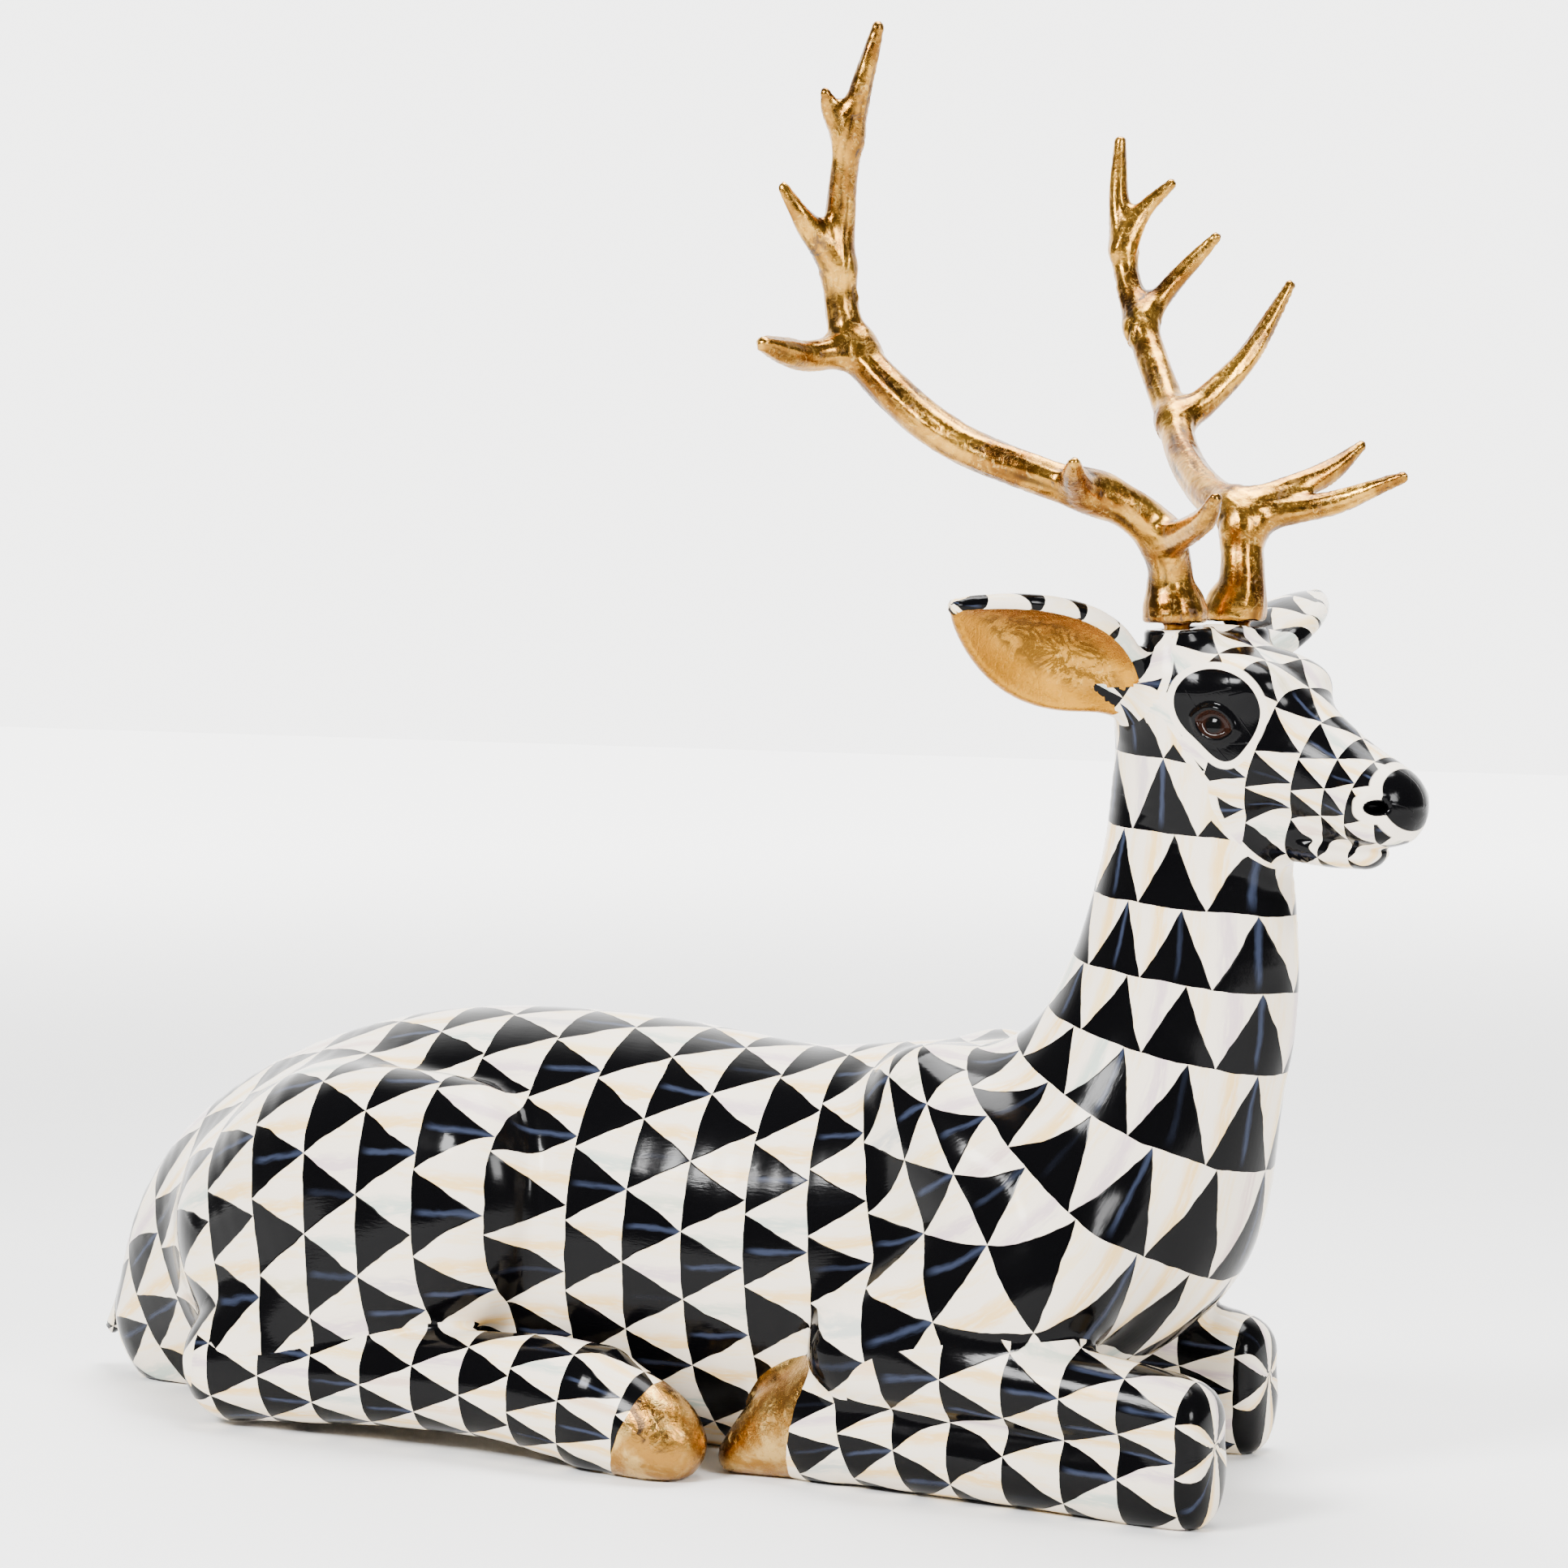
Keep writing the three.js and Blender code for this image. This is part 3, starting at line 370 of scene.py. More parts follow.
def head_field(points):
    own = to_head(points)
    h = mirrored(own)
    d = near(skull, h)
    d = melt(d, near(face, h), SOFT["face"])
    d = melt(d, near(muzzle, h), SOFT["face"])
    d = melt(d, near(cheek, h), SOFT["cheek"])
    d = melt(d, near(jaw, h), SOFT["jaw"])
    d = melt(d, near(nostril_wing, h), SOFT["jaw"])
    d = d + mouth_groove(h)
    d = -melt(-d, near(nostril, h), SOFT["nostril"])
    d = melt(d, near(brow, h), SOFT["brow"])
    d = melt(d, np.maximum(near(pedicle, h), h[:, 2] - SEAT_HEIGHT), SOFT["pedicle"])
    d = melt(d, near(ear_stem, h), SOFT["jaw"])
    d = melt(d, np.where(own[:, 1] < 0, near(right_ear, h), near(left_ear, h)), SOFT["ear"])
    p, q, n, outline = eye_measures(h)
    close = (np.abs(n) < EYE_REACH) & (outline < EYE_REACH)
    recess = np.where(close, EYE_RECESS * ease(-outline, 0, 4), 0)
    ball = np.sqrt(p**2 + q**2 + (n - EYE_BALL_PROUD + EYE_BALL_RADIUS) ** 2) - EYE_BALL_RADIUS
    lid = np.hypot(outline, d) - LID_RADIUS
    d = np.where(close, melt(d + recess, np.where(close, lid, FAR_AWAY), LID_SOFTNESS), d)
    d = np.where(close & (outline < 2), np.minimum(d, ball), d)
    socket = np.hypot(h[:, 0], h[:, 1] - SEAT_SPREAD) - PEG_RADIUS - SOCKET_CLEARANCE
    socket = np.maximum(socket, np.maximum(SOCKET_BOTTOM - h[:, 2], h[:, 2] - SOCKET_TOP))
    return np.maximum(d, -socket)


def body_field(points):
    sides, legs = mirrored(points), leg_frame(points)
    d = near(trunk, points)
    d = melt(d, near(neck, points), SOFT["neck"])
    d = melt(d, near(shoulder_blade, sides), SOFT["shoulder"])
    d = melt(d, near(upper_arm, sides), SOFT["upper_arm"])
    haunch = melt(near(thigh, sides), near(shank, sides), SOFT["upper_arm"])
    rump_share = ease(-points[:, 0], RUMP_FROM, RUMP_TO)
    d = melt(d, haunch, SOFT["thigh"] + (SOFT["rump"] - SOFT["thigh"]) * rump_share)
    foreleg = melt(near(forearm, legs), near(fore_shin, legs), SOFT["knee"])
    foreleg = melt(foreleg, near(fore_hoof, legs), SOFT["hoof"])
    foreleg = -melt(-foreleg, KNEE_FRONT - legs[:, 0], SOFT["knee_front"])
    d = melt(d, foreleg, SOFT["foreleg"])
    d = melt(d, melt(near(hind_shin, sides), near(hind_hoof, sides), SOFT["hoof"]), SOFT["hindleg"])
    d = melt(d, near(tail, points), SOFT["tail"])
    top = points[:, 2] > HEAD_FROM_HEIGHT
    if top.any():
        d[top] = melt(d[top], head_field(points[top]), SOFT["head"])
    return np.maximum(d, -points[:, 2])


def antler_field(branches):
    """A beam with its tines, a level collar, and the peg that stands in the skull."""
    beam, *tines = [Limb(b, (0.3, 0.2, 1)) for b in branches]
    beam.side = np.array([0.0, 1.0, 0.0])
    spread = np.sign(branches[0][0][1]) * SEAT_SPREAD

    def field(points):
        h = to_head(points)
        d = near(beam, h)
        for tine in tines:
            d = melt(d, near(tine, h), SOFT["tine"])
        d = -melt(-d, h[:, 2] - COLLAR_BOTTOM, COLLAR_SOFTNESS)
        peg = np.hypot(h[:, 0], h[:, 1] - spread) - PEG_RADIUS
        peg = np.maximum(peg, np.maximum(PEG_BOTTOM - h[:, 2], h[:, 2] - PEG_TOP))
        return melt(d, peg, SOFT["peg"])

    return field


# Meshing: surface nets over a lattice that is only worked out close to the skin.
BLOCK = 4
PINCH_DEPTH = 0.1
CORNERS = [(i, j, k) for i in (0, 1) for j in (0, 1) for k in (0, 1)]


def blown_up(blocks):
    for axis in range(3):
        blocks = np.repeat(blocks, BLOCK, axis)
    return blocks


def open_pinches(values, step):
    """Inside corners that only meet across a lattice square would pinch the skin to a line."""
    found = True
    while found:
        found = False
        for u, v in ((0, 1), (1, 2), (0, 2)):
            square = []
            for du, dv in ((0, 0), (1, 0), (1, 1), (0, 1)):
                cut = [slice(None)] * 3
                cut[u] = slice(1, None) if du else slice(0, -1)
                cut[v] = slice(1, None) if dv else slice(0, -1)
                square.append(values[tuple(cut)])
            a, b, c, d = [s < 0 for s in square]
            for at in np.argwhere((a == c) & (b == d) & (a != b)):
                outside = [1, 3] if square[0][tuple(at)] < 0 else [0, 2]
                low = min(outside, key=lambda m: square[m][tuple(at)])
                square[low][tuple(at)] = -PINCH_DEPTH * step
                found = True


def skin(field, low, high, step):
    low = np.array(low, float)
    cells = (np.ceil((np.array(high) - low) / (step * BLOCK)) * BLOCK).astype(int)
    axes = [low[i] + step * np.arange(cells[i] + 1) for i in range(3)]
    middles = np.stack(np.meshgrid(*[a[:-1:BLOCK] + step * BLOCK / 2 for a in axes], indexing="ij"), -1)
    depth = field(middles.reshape(-1, 3)).reshape(middles.shape[:3])
    close = blown_up(np.abs(depth) < step * BLOCK * 1.6)
    values = np.pad(blown_up(np.sign(depth)) * FAR_AWAY, ((0, 1),) * 3, mode="edge")
    need = np.zeros(cells + 1, bool)
    for i, j, k in CORNERS:
        need[i : i + cells[0], j : j + cells[1], k : k + cells[2]] |= close
    at = np.argwhere(need)
    values[need] = field(low + step * at)
    open_pinches(values, step)
    inside = values < 0

    count = np.zeros(cells, np.int8)
    for i, j, k in CORNERS:
        count += inside[i : i + cells[0], j : j + cells[1], k : k + cells[2]]
    crossed = (count > 0) & (count < 8)
    cell = np.argwhere(crossed)
    number = np.full(cells, -1, np.int64)
    number[crossed] = np.arange(len(cell))
    total, hits = np.zeros((len(cell), 3)), np.zeros(len(cell))
    for corner in CORNERS:
        for axis in range(3):
            if corner[axis]:
                continue
            other = tuple(1 if i == axis else c for i, c in enumerate(corner))
            va = values[tuple((cell + corner).T)]
            vb = values[tuple((cell + other).T)]
            crossing = (va < 0) != (vb < 0)
            point = np.tile(np.array(corner, float), (len(cell), 1))
            point[:, axis] = np.where(crossing, va / (va - vb + 1e-12), 0)
            total += point * crossing[:, None]
            hits += crossing
    points = low + step * (cell + total / hits[:, None])

    quads = []
    for axis in range(3):
        u, v = [(1, 2), (2, 0), (0, 1)][axis]
        first, second = [slice(None)] * 3, [slice(None)] * 3
        first[axis], second[axis] = slice(0, -1), slice(1, None)
        a, b = inside[tuple(first)], inside[tuple(second)]
        edge = np.argwhere(a != b)
        ring = []
        for du, dv in ((-1, -1), (0, -1), (0, 0), (-1, 0)):
            place = edge.copy()
            place[:, u] += du
            place[:, v] += dv
            ring.append(number[tuple(place.T)])
        quad = np.stack(ring, 1)
        backwards = ~a[tuple(edge.T)]
        quad[backwards] = quad[backwards][:, ::-1]
        quads.append(quad)
    return points, np.vstack(quads)


def slope(field, points):
    out = np.zeros_like(points)
    for i in range(3):
        step = np.zeros(3)
        step[i] = SLOPE_STEP
        out[:, i] = (field(points + step) - field(points - step)) / (2 * SLOPE_STEP)
    return out


def settle(points, field, rounds, most):
    """Moves points along the field's slope onto the skin itself."""
    for _ in range(rounds):
        g = slope(field, points)
        move = np.clip(field(points) / np.maximum((g**2).sum(1), 0.3), -most, most)
        points = points - g * move[:, None]
    return points


def edges_of(quads):
    pairs = np.vstack([quads[:, [i, (i + 1) % 4]] for i in range(4)])
    return np.unique(np.sort(pairs, 1), axis=0)


def relax(points, quads, rounds, share):
    """Evens out the mesh without shrinking it: each step in has one out. share is 0 where it is held."""
    edges = edges_of(quads)
    degree = np.bincount(edges.ravel(), minlength=len(points)).clip(1)
    for amount in [0.5, -0.53] * rounds:
        mean = np.stack(
            [
                np.bincount(edges[:, 0], points[edges[:, 1], i], len(points))
                + np.bincount(edges[:, 1], points[edges[:, 0], i], len(points))
                for i in range(3)
            ],
            1,
        )
        points = points + amount * share[:, None] * (mean / degree[:, None] - points)
    return points


def divide(points, quads, polygons, chosen):
    """Splits each chosen quad in four. Its neighbours take the new points into their outline."""
    count = len(points)
    pairs = np.sort(np.stack([quads, np.roll(quads, -1, 1)], -1), -1)
    keys, place = np.unique(pairs[..., 0] * count + pairs[..., 1], return_inverse=True)
    place = place.reshape(quads.shape)
    split = np.zeros(len(keys), bool)
    split[place[chosen].ravel()] = True
    number = np.full(len(keys), -1)
    number[split] = count + np.arange(split.sum())
    mids = (points[keys[split] // count] + points[keys[split] % count]) / 2
    centres = points[quads[chosen]].mean(1)
    middle = count + split.sum() + np.arange(chosen.sum())
    edge = number[place[chosen]]
    corner = quads[chosen]
    parts = [np.stack([corner[:, i], edge[:, i], middle, edge[:, i - 1]], 1) for i in range(4)]
    touched = ~chosen & split[place].any(1)
    for quad, mid in zip(quads[touched], number[place[touched]]):
        polygons.append([v for pair in zip(quad, mid) for v in pair if v >= 0])
    kept = quads[~chosen & ~touched]
    return np.vstack([points, mids, centres]), np.vstack([kept, *parts]), polygons


class Coat:
    """Rows of triangles along a spine, counted from first_row. Past its ends they go on over the caps.

    blur rounds the spine's corners for the rows, to_own gives the frame that the spine and
    the parts are in, and side is where the turns are counted from, a quarter turn off.
    """

    def __init__(self, spine, heights, slimness, first_row, blur, to_own, parts, side=(0, 1, 0)):
        samples = smooth_run(spine, SPINE_STEPS)
        back, on = samples[0] - samples[1], samples[-1] - samples[-2]
        step = np.linalg.norm(back)
        head = samples[0] + back / step * np.arange(CAP_REACH, 0, -step)[:, None]
        step = np.linalg.norm(on)
        tail = samples[-1] + on / step * np.arange(step, CAP_REACH, step)[:, None]
        self.points = np.vstack([head, samples, tail])
        self.ends = len(head), len(head) + len(samples) - 1
        steps = np.linalg.norm(np.diff(self.points, axis=0), axis=1)
        along = np.concatenate([[0], np.cumsum(steps)])
        self.heights = np.interp(along, along[list(self.ends)], heights)
        rows = np.concatenate([[0], np.cumsum(steps * 2 / (self.heights[1:] + self.heights[:-1]))])
        self.rows = rows - rows[self.ends[0]] + first_row
        self.tangents = np.gradient(self.points, axis=0)
        self.slimness, self.blur, self.to_own, self.parts = slimness, blur, to_own, parts
        self.side = np.array(side, float)

    def distance(self, points):
        own = self.to_own(points)
        return np.minimum.reduce([near(part, own) for part in self.parts])

    def place(self, points):
        """Row, turn in the range -0.5 to 0.5 with its seam below, and distance from the spine."""
        found = []
        for part in np.array_split(self.to_own(points), max(1, len(points) // BATCH)):
            square = ((part[:, None, :] - self.points[None]) ** 2).sum(2)
            weight = np.exp(-(square - square.min(1, keepdims=True)) / (2 * self.blur**2))
            row = weight @ self.rows / weight.sum(1)
            centre, tangent = (
                np.stack([np.interp(row, self.rows, line[:, i]) for i in range(3)], 1)
                for line in (self.points, self.tangents)
            )
            tangent /= np.linalg.norm(tangent, axis=1)[:, None]
            side = self.side - (tangent @ self.side)[:, None] * tangent
            side /= np.linalg.norm(side, axis=1)[:, None]
            v = part - centre
            w, h = (v * side).sum(1), (v * np.cross(tangent, side)).sum(1)
            for end, outwards in zip(self.ends, (-1, 1)):
                v = part - self.points[end]
                beyond = v @ unit(self.tangents[end]) * outwards
                aside = np.sqrt(np.maximum((v**2).sum(1) - beyond**2, 0))
                arc = np.hypot(beyond, aside) * np.arctan2(beyond, aside) / self.heights[end]
                row = np.where(beyond > 0, self.rows[end] + outwards * arc, row)
            found.append(np.stack([row, np.arctan2(w, h) / (2 * np.pi), np.hypot(w, h)]))
        return np.hstack(found)

    def counts(self, rows, reach):
        """How many triangles go round in each row, from its girth."""
        counts = []
        for row in np.unique(np.floor(rows)):
            girth = 2 * np.pi * reach[np.floor(rows) == row].mean()
            height = np.interp(row + 0.5, self.rows, self.heights)
            counts.append((int(row), max(3, round(girth / (height * self.slimness)))))
        return counts


def whole(points):
    return points


def half_head(points):
    return mirrored(to_head(points))


head_parts, foreleg_parts = (face, skull, jaw, muzzle), (forearm, fore_shin, fore_hoof)
hind_leg_parts, ear_parts = (hind_shin, hind_hoof), (right_ear, left_ear, ear_stem)
body_coat = Coat(BODY_SPINE, BODY_ROWS, BODY_SLIMNESS, FIRST_ROW, 34, whole, (trunk, neck))
part_coats = [
    Coat(FACE_SPINE, FACE_ROWS, FACE_SLIMNESS, FIRST_ROW + ROWS_APART, 22, to_head, head_parts),
    Coat(FORELEG_SPINE, LEG_ROWS, LEG_SLIMNESS, FIRST_ROW + 2 * ROWS_APART, 20, leg_frame, foreleg_parts),
    Coat(HIND_LEG_SPINE, LEG_ROWS, LEG_SLIMNESS, FIRST_ROW + 3 * ROWS_APART, 20, mirrored, hind_leg_parts),
    Coat(EAR_SPINE, EAR_ROWS, FACE_SLIMNESS, FIRST_ROW + 4 * ROWS_APART, 14, half_head, ear_parts),
    Coat(TAIL_SPINE, TAIL_ROWS, LEG_SLIMNESS, FIRST_ROW + 5 * ROWS_APART, 14, whole, (tail,)),
]


# The body's lattice, and the parts of it that are divided for finer detail.
BODY_BOX = (-640, -250, -12), (620, 270, 664)
HEAD_FROM_BACK, HEAD_FROM_BOTTOM = -110, -178
SETTLE_FROM_HEIGHT = 420
LIPS_FROM, LIPS_MIDDLE, LIPS_REACH = 84, -140, 24
EYE_RIM, FACE_FROM_BACK, FACE_FROM_BOTTOM = 9, -60, -170


def build_body():
    points, quads = skin(body_field, *BODY_BOX, BODY_LATTICE)
    points = settle(points, body_field, 2, 4.0)
    free = (points[:, 2] > 1.0).astype(float)
    head = mirrored(to_head(points))
    fine = ease(head[:, 2], -190, -150) * ease(head[:, 0], -90, -70)
    points = relax(points, quads, 6, free * (1 - fine))
    points = relax(points, quads, 1, free * fine)
    polygons = []
    middles = mirrored(to_head(points[quads].mean(1)))
    on_head = (middles[:, 2] > HEAD_FROM_BOTTOM) & (middles[:, 0] > HEAD_FROM_BACK)
    points, quads, polygons = divide(points, quads, polygons, on_head)
    points = settle_zone(points, points[:, 2] > SETTLE_FROM_HEIGHT)
    middles = mirrored(to_head(points[quads].mean(1)))
    p, q, n, outline = eye_measures(middles)
    lips = (middles[:, 0] > LIPS_FROM) & (np.abs(middles[:, 2] - LIPS_MIDDLE) < LIPS_REACH)
    detail = ((outline < EYE_RIM) & (np.abs(n) < EYE_REACH)) | lips
    detail &= (middles[:, 0] > FACE_FROM_BACK) & (middles[:, 2] > FACE_FROM_BOTTOM)
    points, quads, polygons = divide(points, quads, polygons, detail)
    points = settle_zone(points, points[:, 2] > SETTLE_FROM_HEIGHT)
    points[:, 2] = np.maximum(points[:, 2], 0)
    return points, quads, polygons


def settle_zone(points, zone):
    out = points.copy()
    out[zone] = settle(points[zone], body_field, 3, 1.5)
    return out


# Paint zones, as signed distances in millimetres: positive is inside the zone. The gold of
# an ear laps over its rim on one side and stops short of it on the other.
FORE_CORONET = (np.array([131.0, 112, 46]), unit(np.array([-0.97, 0.0, 0.24])))
HIND_CORONET = (np.array([21.0, 158, 42]), unit(np.array([0.91, 0.0, -0.40])))
EYE_PATCH = [((-9, 12), 24.0), ((6, 11), 25.0), ((9, -3), 17.0), ((13, -13), 7.0)]
EYE_PATCH_REACH, EYE_PATCH_FROM = 28, -40
CUP_SIDE, CUP_OTHER_SIDE = 7.0, -1.0
HOOF_RAGGEDNESS = 1.5
PATCH_BORDER, COAT_BORDER = 5.0, 2.5
nose_pad = Pad(((170, 0, -119), (22, 25, 21)))


def paint_zones(points):
    sides, legs, own = mirrored(points), leg_frame(points), to_head(points)
    h, on_right = mirrored(own), own[:, 1] < 0
    fore, hind = near(fore_hoof, legs), near(hind_hoof, sides)
    fore_zone = np.minimum((legs - FORE_CORONET[0]) @ FORE_CORONET[1], 8 - fore)
    hind_zone = np.minimum((sides - HIND_CORONET[0]) @ HIND_CORONET[1], 8 - hind)
    raw, t, outside, front, across = np.where(on_right, right_ear.measures(h), left_ear.measures(h))
    rim = np.where(across > 0, CUP_SIDE, CUP_OTHER_SIDE) * ease(np.abs(across), 0, 8)
    cup = np.minimum(np.minimum(front, rim - outside), (raw - 0.05) * 120)
    cup = np.where(np.where(on_right, near(right_ear, h), near(left_ear, h)) < 6, cup, -20)
    p, q, n, outline = eye_measures(h)
    patch = np.full(len(points), -60.0)
    for (p0, q0), radius in EYE_PATCH:
        patch = -melt(-patch, np.hypot(p - p0, q - q0) - radius, 10)
    on_face = (np.abs(n) < EYE_PATCH_REACH) & (h[:, 0] > EYE_PATCH_FROM)
    nose = np.maximum(2.2 - near(nostril, h), 1.0 - near(nose_pad, h))
    return {
        "hoof_zone": np.maximum(fore_zone, hind_zone),
        "ear_zone": cup,
        "ear_middle": np.where(cup > -10, -outside, 0),
        "eye_zone": np.where(on_face, -outline - 1.2, -40),
        "patch_zone": np.maximum(np.where(on_face, patch, -40), nose),
        "pupil_zone": PUPIL_RADIUS - np.hypot(p + 1, q),
    }


def coat_maps(points):
    """The body's rows and turns, each part's own, how close each part is, and how far it wins."""
    sides = mirrored(points)
    limbs = [near(part, sides) for part in (shoulder_blade, upper_arm, thigh, shank)]
    on_body = np.minimum.reduce([body_coat.distance(points), *limbs])
    own = np.array([coat.place(points) for coat in part_coats])
    distances = np.array([coat.distance(points) for coat in part_coats])
    return body_coat.place(points), own, distances, on_body - distances.min(0)


def first_corners(sizes):
    return np.concatenate([[0], np.cumsum(sizes)[:-1]])


def new_mesh(name, points, quads, polygons):
    mesh = bpy.data.meshes.new(name)
    sizes = np.concatenate([np.full(len(quads), 4), [len(p) for p in polygons]]).astype(np.int32)
    corners = np.concatenate([quads.ravel(), *[np.array(p) for p in polygons]]).astype(np.int32)
    mesh.vertices.add(len(points))
    mesh.vertices.foreach_set("co", (points * MM).astype(np.float32).ravel())
    mesh.loops.add(len(corners))
    mesh.loops.foreach_set("vertex_index", corners)
    mesh.polygons.add(len(sizes))
    mesh.polygons.foreach_set("loop_start", first_corners(sizes).astype(np.int32))
    mesh.polygons.foreach_set("use_smooth", np.ones(len(sizes), bool))
    mesh.update(calc_edges=True)
    mesh.validate()
    return mesh, corners, sizes


def add_map(mesh, name, pairs):
    layer = mesh.uv_layers.new(name=name)
    layer.data.foreach_set("uv", pairs.astype(np.float32).ravel())


def add_values(mesh, values):
    for name, value in values.items():
        layer = mesh.attributes.new(name, "FLOAT", "POINT")
        layer.data.foreach_set("value", value.astype(np.float32))


def unwrapped(places, corners, sizes, already=False):
    """Turn and row at each face corner. Turns move by whole ones so that no face spans the seam."""
    rows, turns = (line if already else line[corners] for line in places[:2])
    first = np.repeat(first_corners(sizes), sizes)
    return np.stack([turns - np.round(turns - turns[first]), rows], 1)


def make_body():
    points, quads, polygons = build_body()
    mesh, corners, sizes = new_mesh("stag_skin", points, quads, polygons)
    on_body, own, distances, part_share = coat_maps(points)
    add_map(mesh, "body_coat", unwrapped(on_body, corners, sizes))
    face_of = np.repeat(np.arange(len(sizes)), sizes)
    sums = np.stack([np.bincount(face_of, d[corners], len(sizes)) for d in distances])
    closest = np.argmin(sums, 0)[face_of]
    add_map(mesh, "part_coat", unwrapped(own[closest, :, corners].T, corners, sizes, already=True))
    counts = body_coat.counts(*on_body[[0, 2]][:, part_share < 0])
    winner = np.argmin(distances, 0)
    two_closest = np.sort(distances, 0)[:2]
    part_gap = np.where(part_share > 0, two_closest[1] - two_closest[0], 40)
    for number, coat in enumerate(part_coats):
        counts += coat.counts(*own[number][[0, 2]][:, (part_share > 0) & (winner == number)])
    add_values(mesh, {"part_zone": part_share, "part_gap": part_gap, **paint_zones(points)})
    body = bpy.data.objects.new("stag_skin", mesh)
    bpy.context.scene.collection.objects.link(body)
    return body, counts


NOISE_INPUTS = ("Scale", "Detail", "Roughness", "Distortion")


class Shader:
    """Short names for the nodes that the finishes are built from."""

    def __init__(self, name):
        self.material = bpy.data.materials.new(name)
        self.material.use_nodes = True
        self.tree = self.material.node_tree
        self.tree.nodes.clear()
        self.output = self.tree.nodes.new("ShaderNodeOutputMaterial")
        self.surface = self.tree.nodes.new("ShaderNodeBsdfPrincipled")
        self.tree.links.new(self.surface.outputs[0], self.output.inputs[0])

    def feed(self, socket, value):
        if isinstance(value, bpy.types.NodeSocket):
            self.tree.links.new(value, socket)
        else:
            socket.default_value = value

    def math(self, operation, *values):
        node = self.tree.nodes.new("ShaderNodeMath")
        node.operation = operation
        for socket, value in zip(node.inputs, values):
            self.feed(socket, value)
        return node.outputs[0]

    def plus(self, a, b):
        return self.math("ADD", a, b)

    def minus(self, a, b):
        return self.math("SUBTRACT", a, b)

    def times(self, a, b):
        return self.math("MULTIPLY", a, b)

    def absolute(self, value):
        return self.math("ABSOLUTE", value)

    def shaken(self, value, noise, amount):
        """A value moved up and down by a noise."""
        return self.math("MULTIPLY_ADD", self.minus(noise, 0.5), amount, value)

    def ramp(self, value, low, high, to_low=0.0, to_high=1.0):
        node = self.tree.nodes.new("ShaderNodeMapRange")
        node.interpolation_type = "SMOOTHSTEP"
        for socket, number in zip(node.inputs, (value, low, high, to_low, to_high)):
            self.feed(socket, number)
        return node.outputs[0]

    def mix(self, share, a, b):
        node = self.tree.nodes.new("ShaderNodeMix")
        node.data_type = "RGBA"
        for socket, value in zip((node.inputs[0], node.inputs[6], node.inputs[7]), (share, a, b)):
            self.feed(socket, value)
        return node.outputs[2]

    def blend(self, share, a, b):
        node = self.tree.nodes.new("ShaderNodeMix")
        for socket, value in zip(node.inputs[:1] + node.inputs[2:4], (share, a, b)):
            self.feed(socket, value)
        return node.outputs[0]

    def attribute(self, name):
        node = self.tree.nodes.new("ShaderNodeAttribute")
        node.attribute_name = name
        return node.outputs["Fac"]

    def coordinates(self, aside=0.0):
        """Object coordinates, moved aside for a second noise that doesn't follow the first."""
        place = self.tree.nodes.new("ShaderNodeTexCoord").outputs["Object"]
        if not aside:
            return place
        move = self.tree.nodes.new("ShaderNodeVectorMath")
        self.feed(move.inputs[0], place)
        move.inputs[1].default_value = (aside, aside, aside)
        return move.outputs[0]

    def uv(self, name):
        node = self.tree.nodes.new("ShaderNodeUVMap")
        node.uv_map = name
        parts = self.tree.nodes.new("ShaderNodeSeparateXYZ")
        self.feed(parts.inputs[0], node.outputs[0])
        return parts.outputs[0], parts.outputs[1]

    def vector(self, x, y, z=0.0):
        node = self.tree.nodes.new("ShaderNodeCombineXYZ")
        for socket, value in zip(node.inputs, (x, y, z)):
            self.feed(socket, value)
        return node.outputs[0]

    def noise(self, vector, scale, detail=2.0, roughness=0.5, distortion=0.0):
        node = self.tree.nodes.new("ShaderNodeTexNoise")
        self.feed(node.inputs["Vector"], vector)
        for key, value in zip(NOISE_INPUTS, (scale, detail, roughness, distortion)):
            node.inputs[key].default_value = value
        return node.outputs["Fac"]

    def cell_random(self, vector):
        node = self.tree.nodes.new("ShaderNodeTexWhiteNoise")
        node.noise_dimensions = "3D"
        self.feed(node.inputs["Vector"], vector)
        return node.outputs["Value"]

    def bump(self, height, distance, strength, before=None):
        node = self.tree.nodes.new("ShaderNodeBump")
        self.feed(node.inputs["Height"], height)
        node.inputs["Distance"].default_value = distance
        node.inputs["Strength"].default_value = strength
        if before is not None:
            self.feed(node.inputs["Normal"], before)
        return node.outputs[0]


IVORY = (0.87, 0.77, 0.63, 1)
IVORY_STREAKS = [(0.86, 0.56, 0.18, 1), (0.60, 0.46, 0.50, 1), (0.42, 0.52, 0.46, 1), (0.88, 0.64, 0.26, 1)]
BLACK = (0.0012, 0.0012, 0.0015, 1)
# The faint blue-grey stroke on the black is partly a brush stroke and partly a painted sheen.
BLACK_STROKE_AND_SHEEN = (0.022, 0.028, 0.050, 1)
EYE_BROWN = (0.014, 0.005, 0.003, 1)
PUPIL_BLACK = (0.002, 0.002, 0.002, 1)
GOLD = (0.62, 0.32, 0.045, 1)
GOLD_PALE = (0.82, 0.52, 0.14, 1)
GOLD_DEEP = (0.17, 0.065, 0.009, 1)
ANTIQUE_BROWN = (0.035, 0.018, 0.008, 1)
EAR_GLOW = (0.46, 0.20, 0.006, 1)
HOOF_BRONZE = (0.29, 0.14, 0.026, 1)
HOOF_PALE = (0.50, 0.32, 0.10, 1)
HOOF_DARK = (0.07, 0.04, 0.02, 1)
ROW_WOBBLE = 0.10
ENAMEL_SPECULAR = 0.1
GLAZE_SCALE, GLAZE_SMOOTH, GLAZE_DULL, EYE_GLOSS = 14.0, 0.08, 0.15, 0.06
PAINT_RELIEF, EAR_RELIEF, LEAF_RELIEF = 0.0004, 0.0012, 0.0008
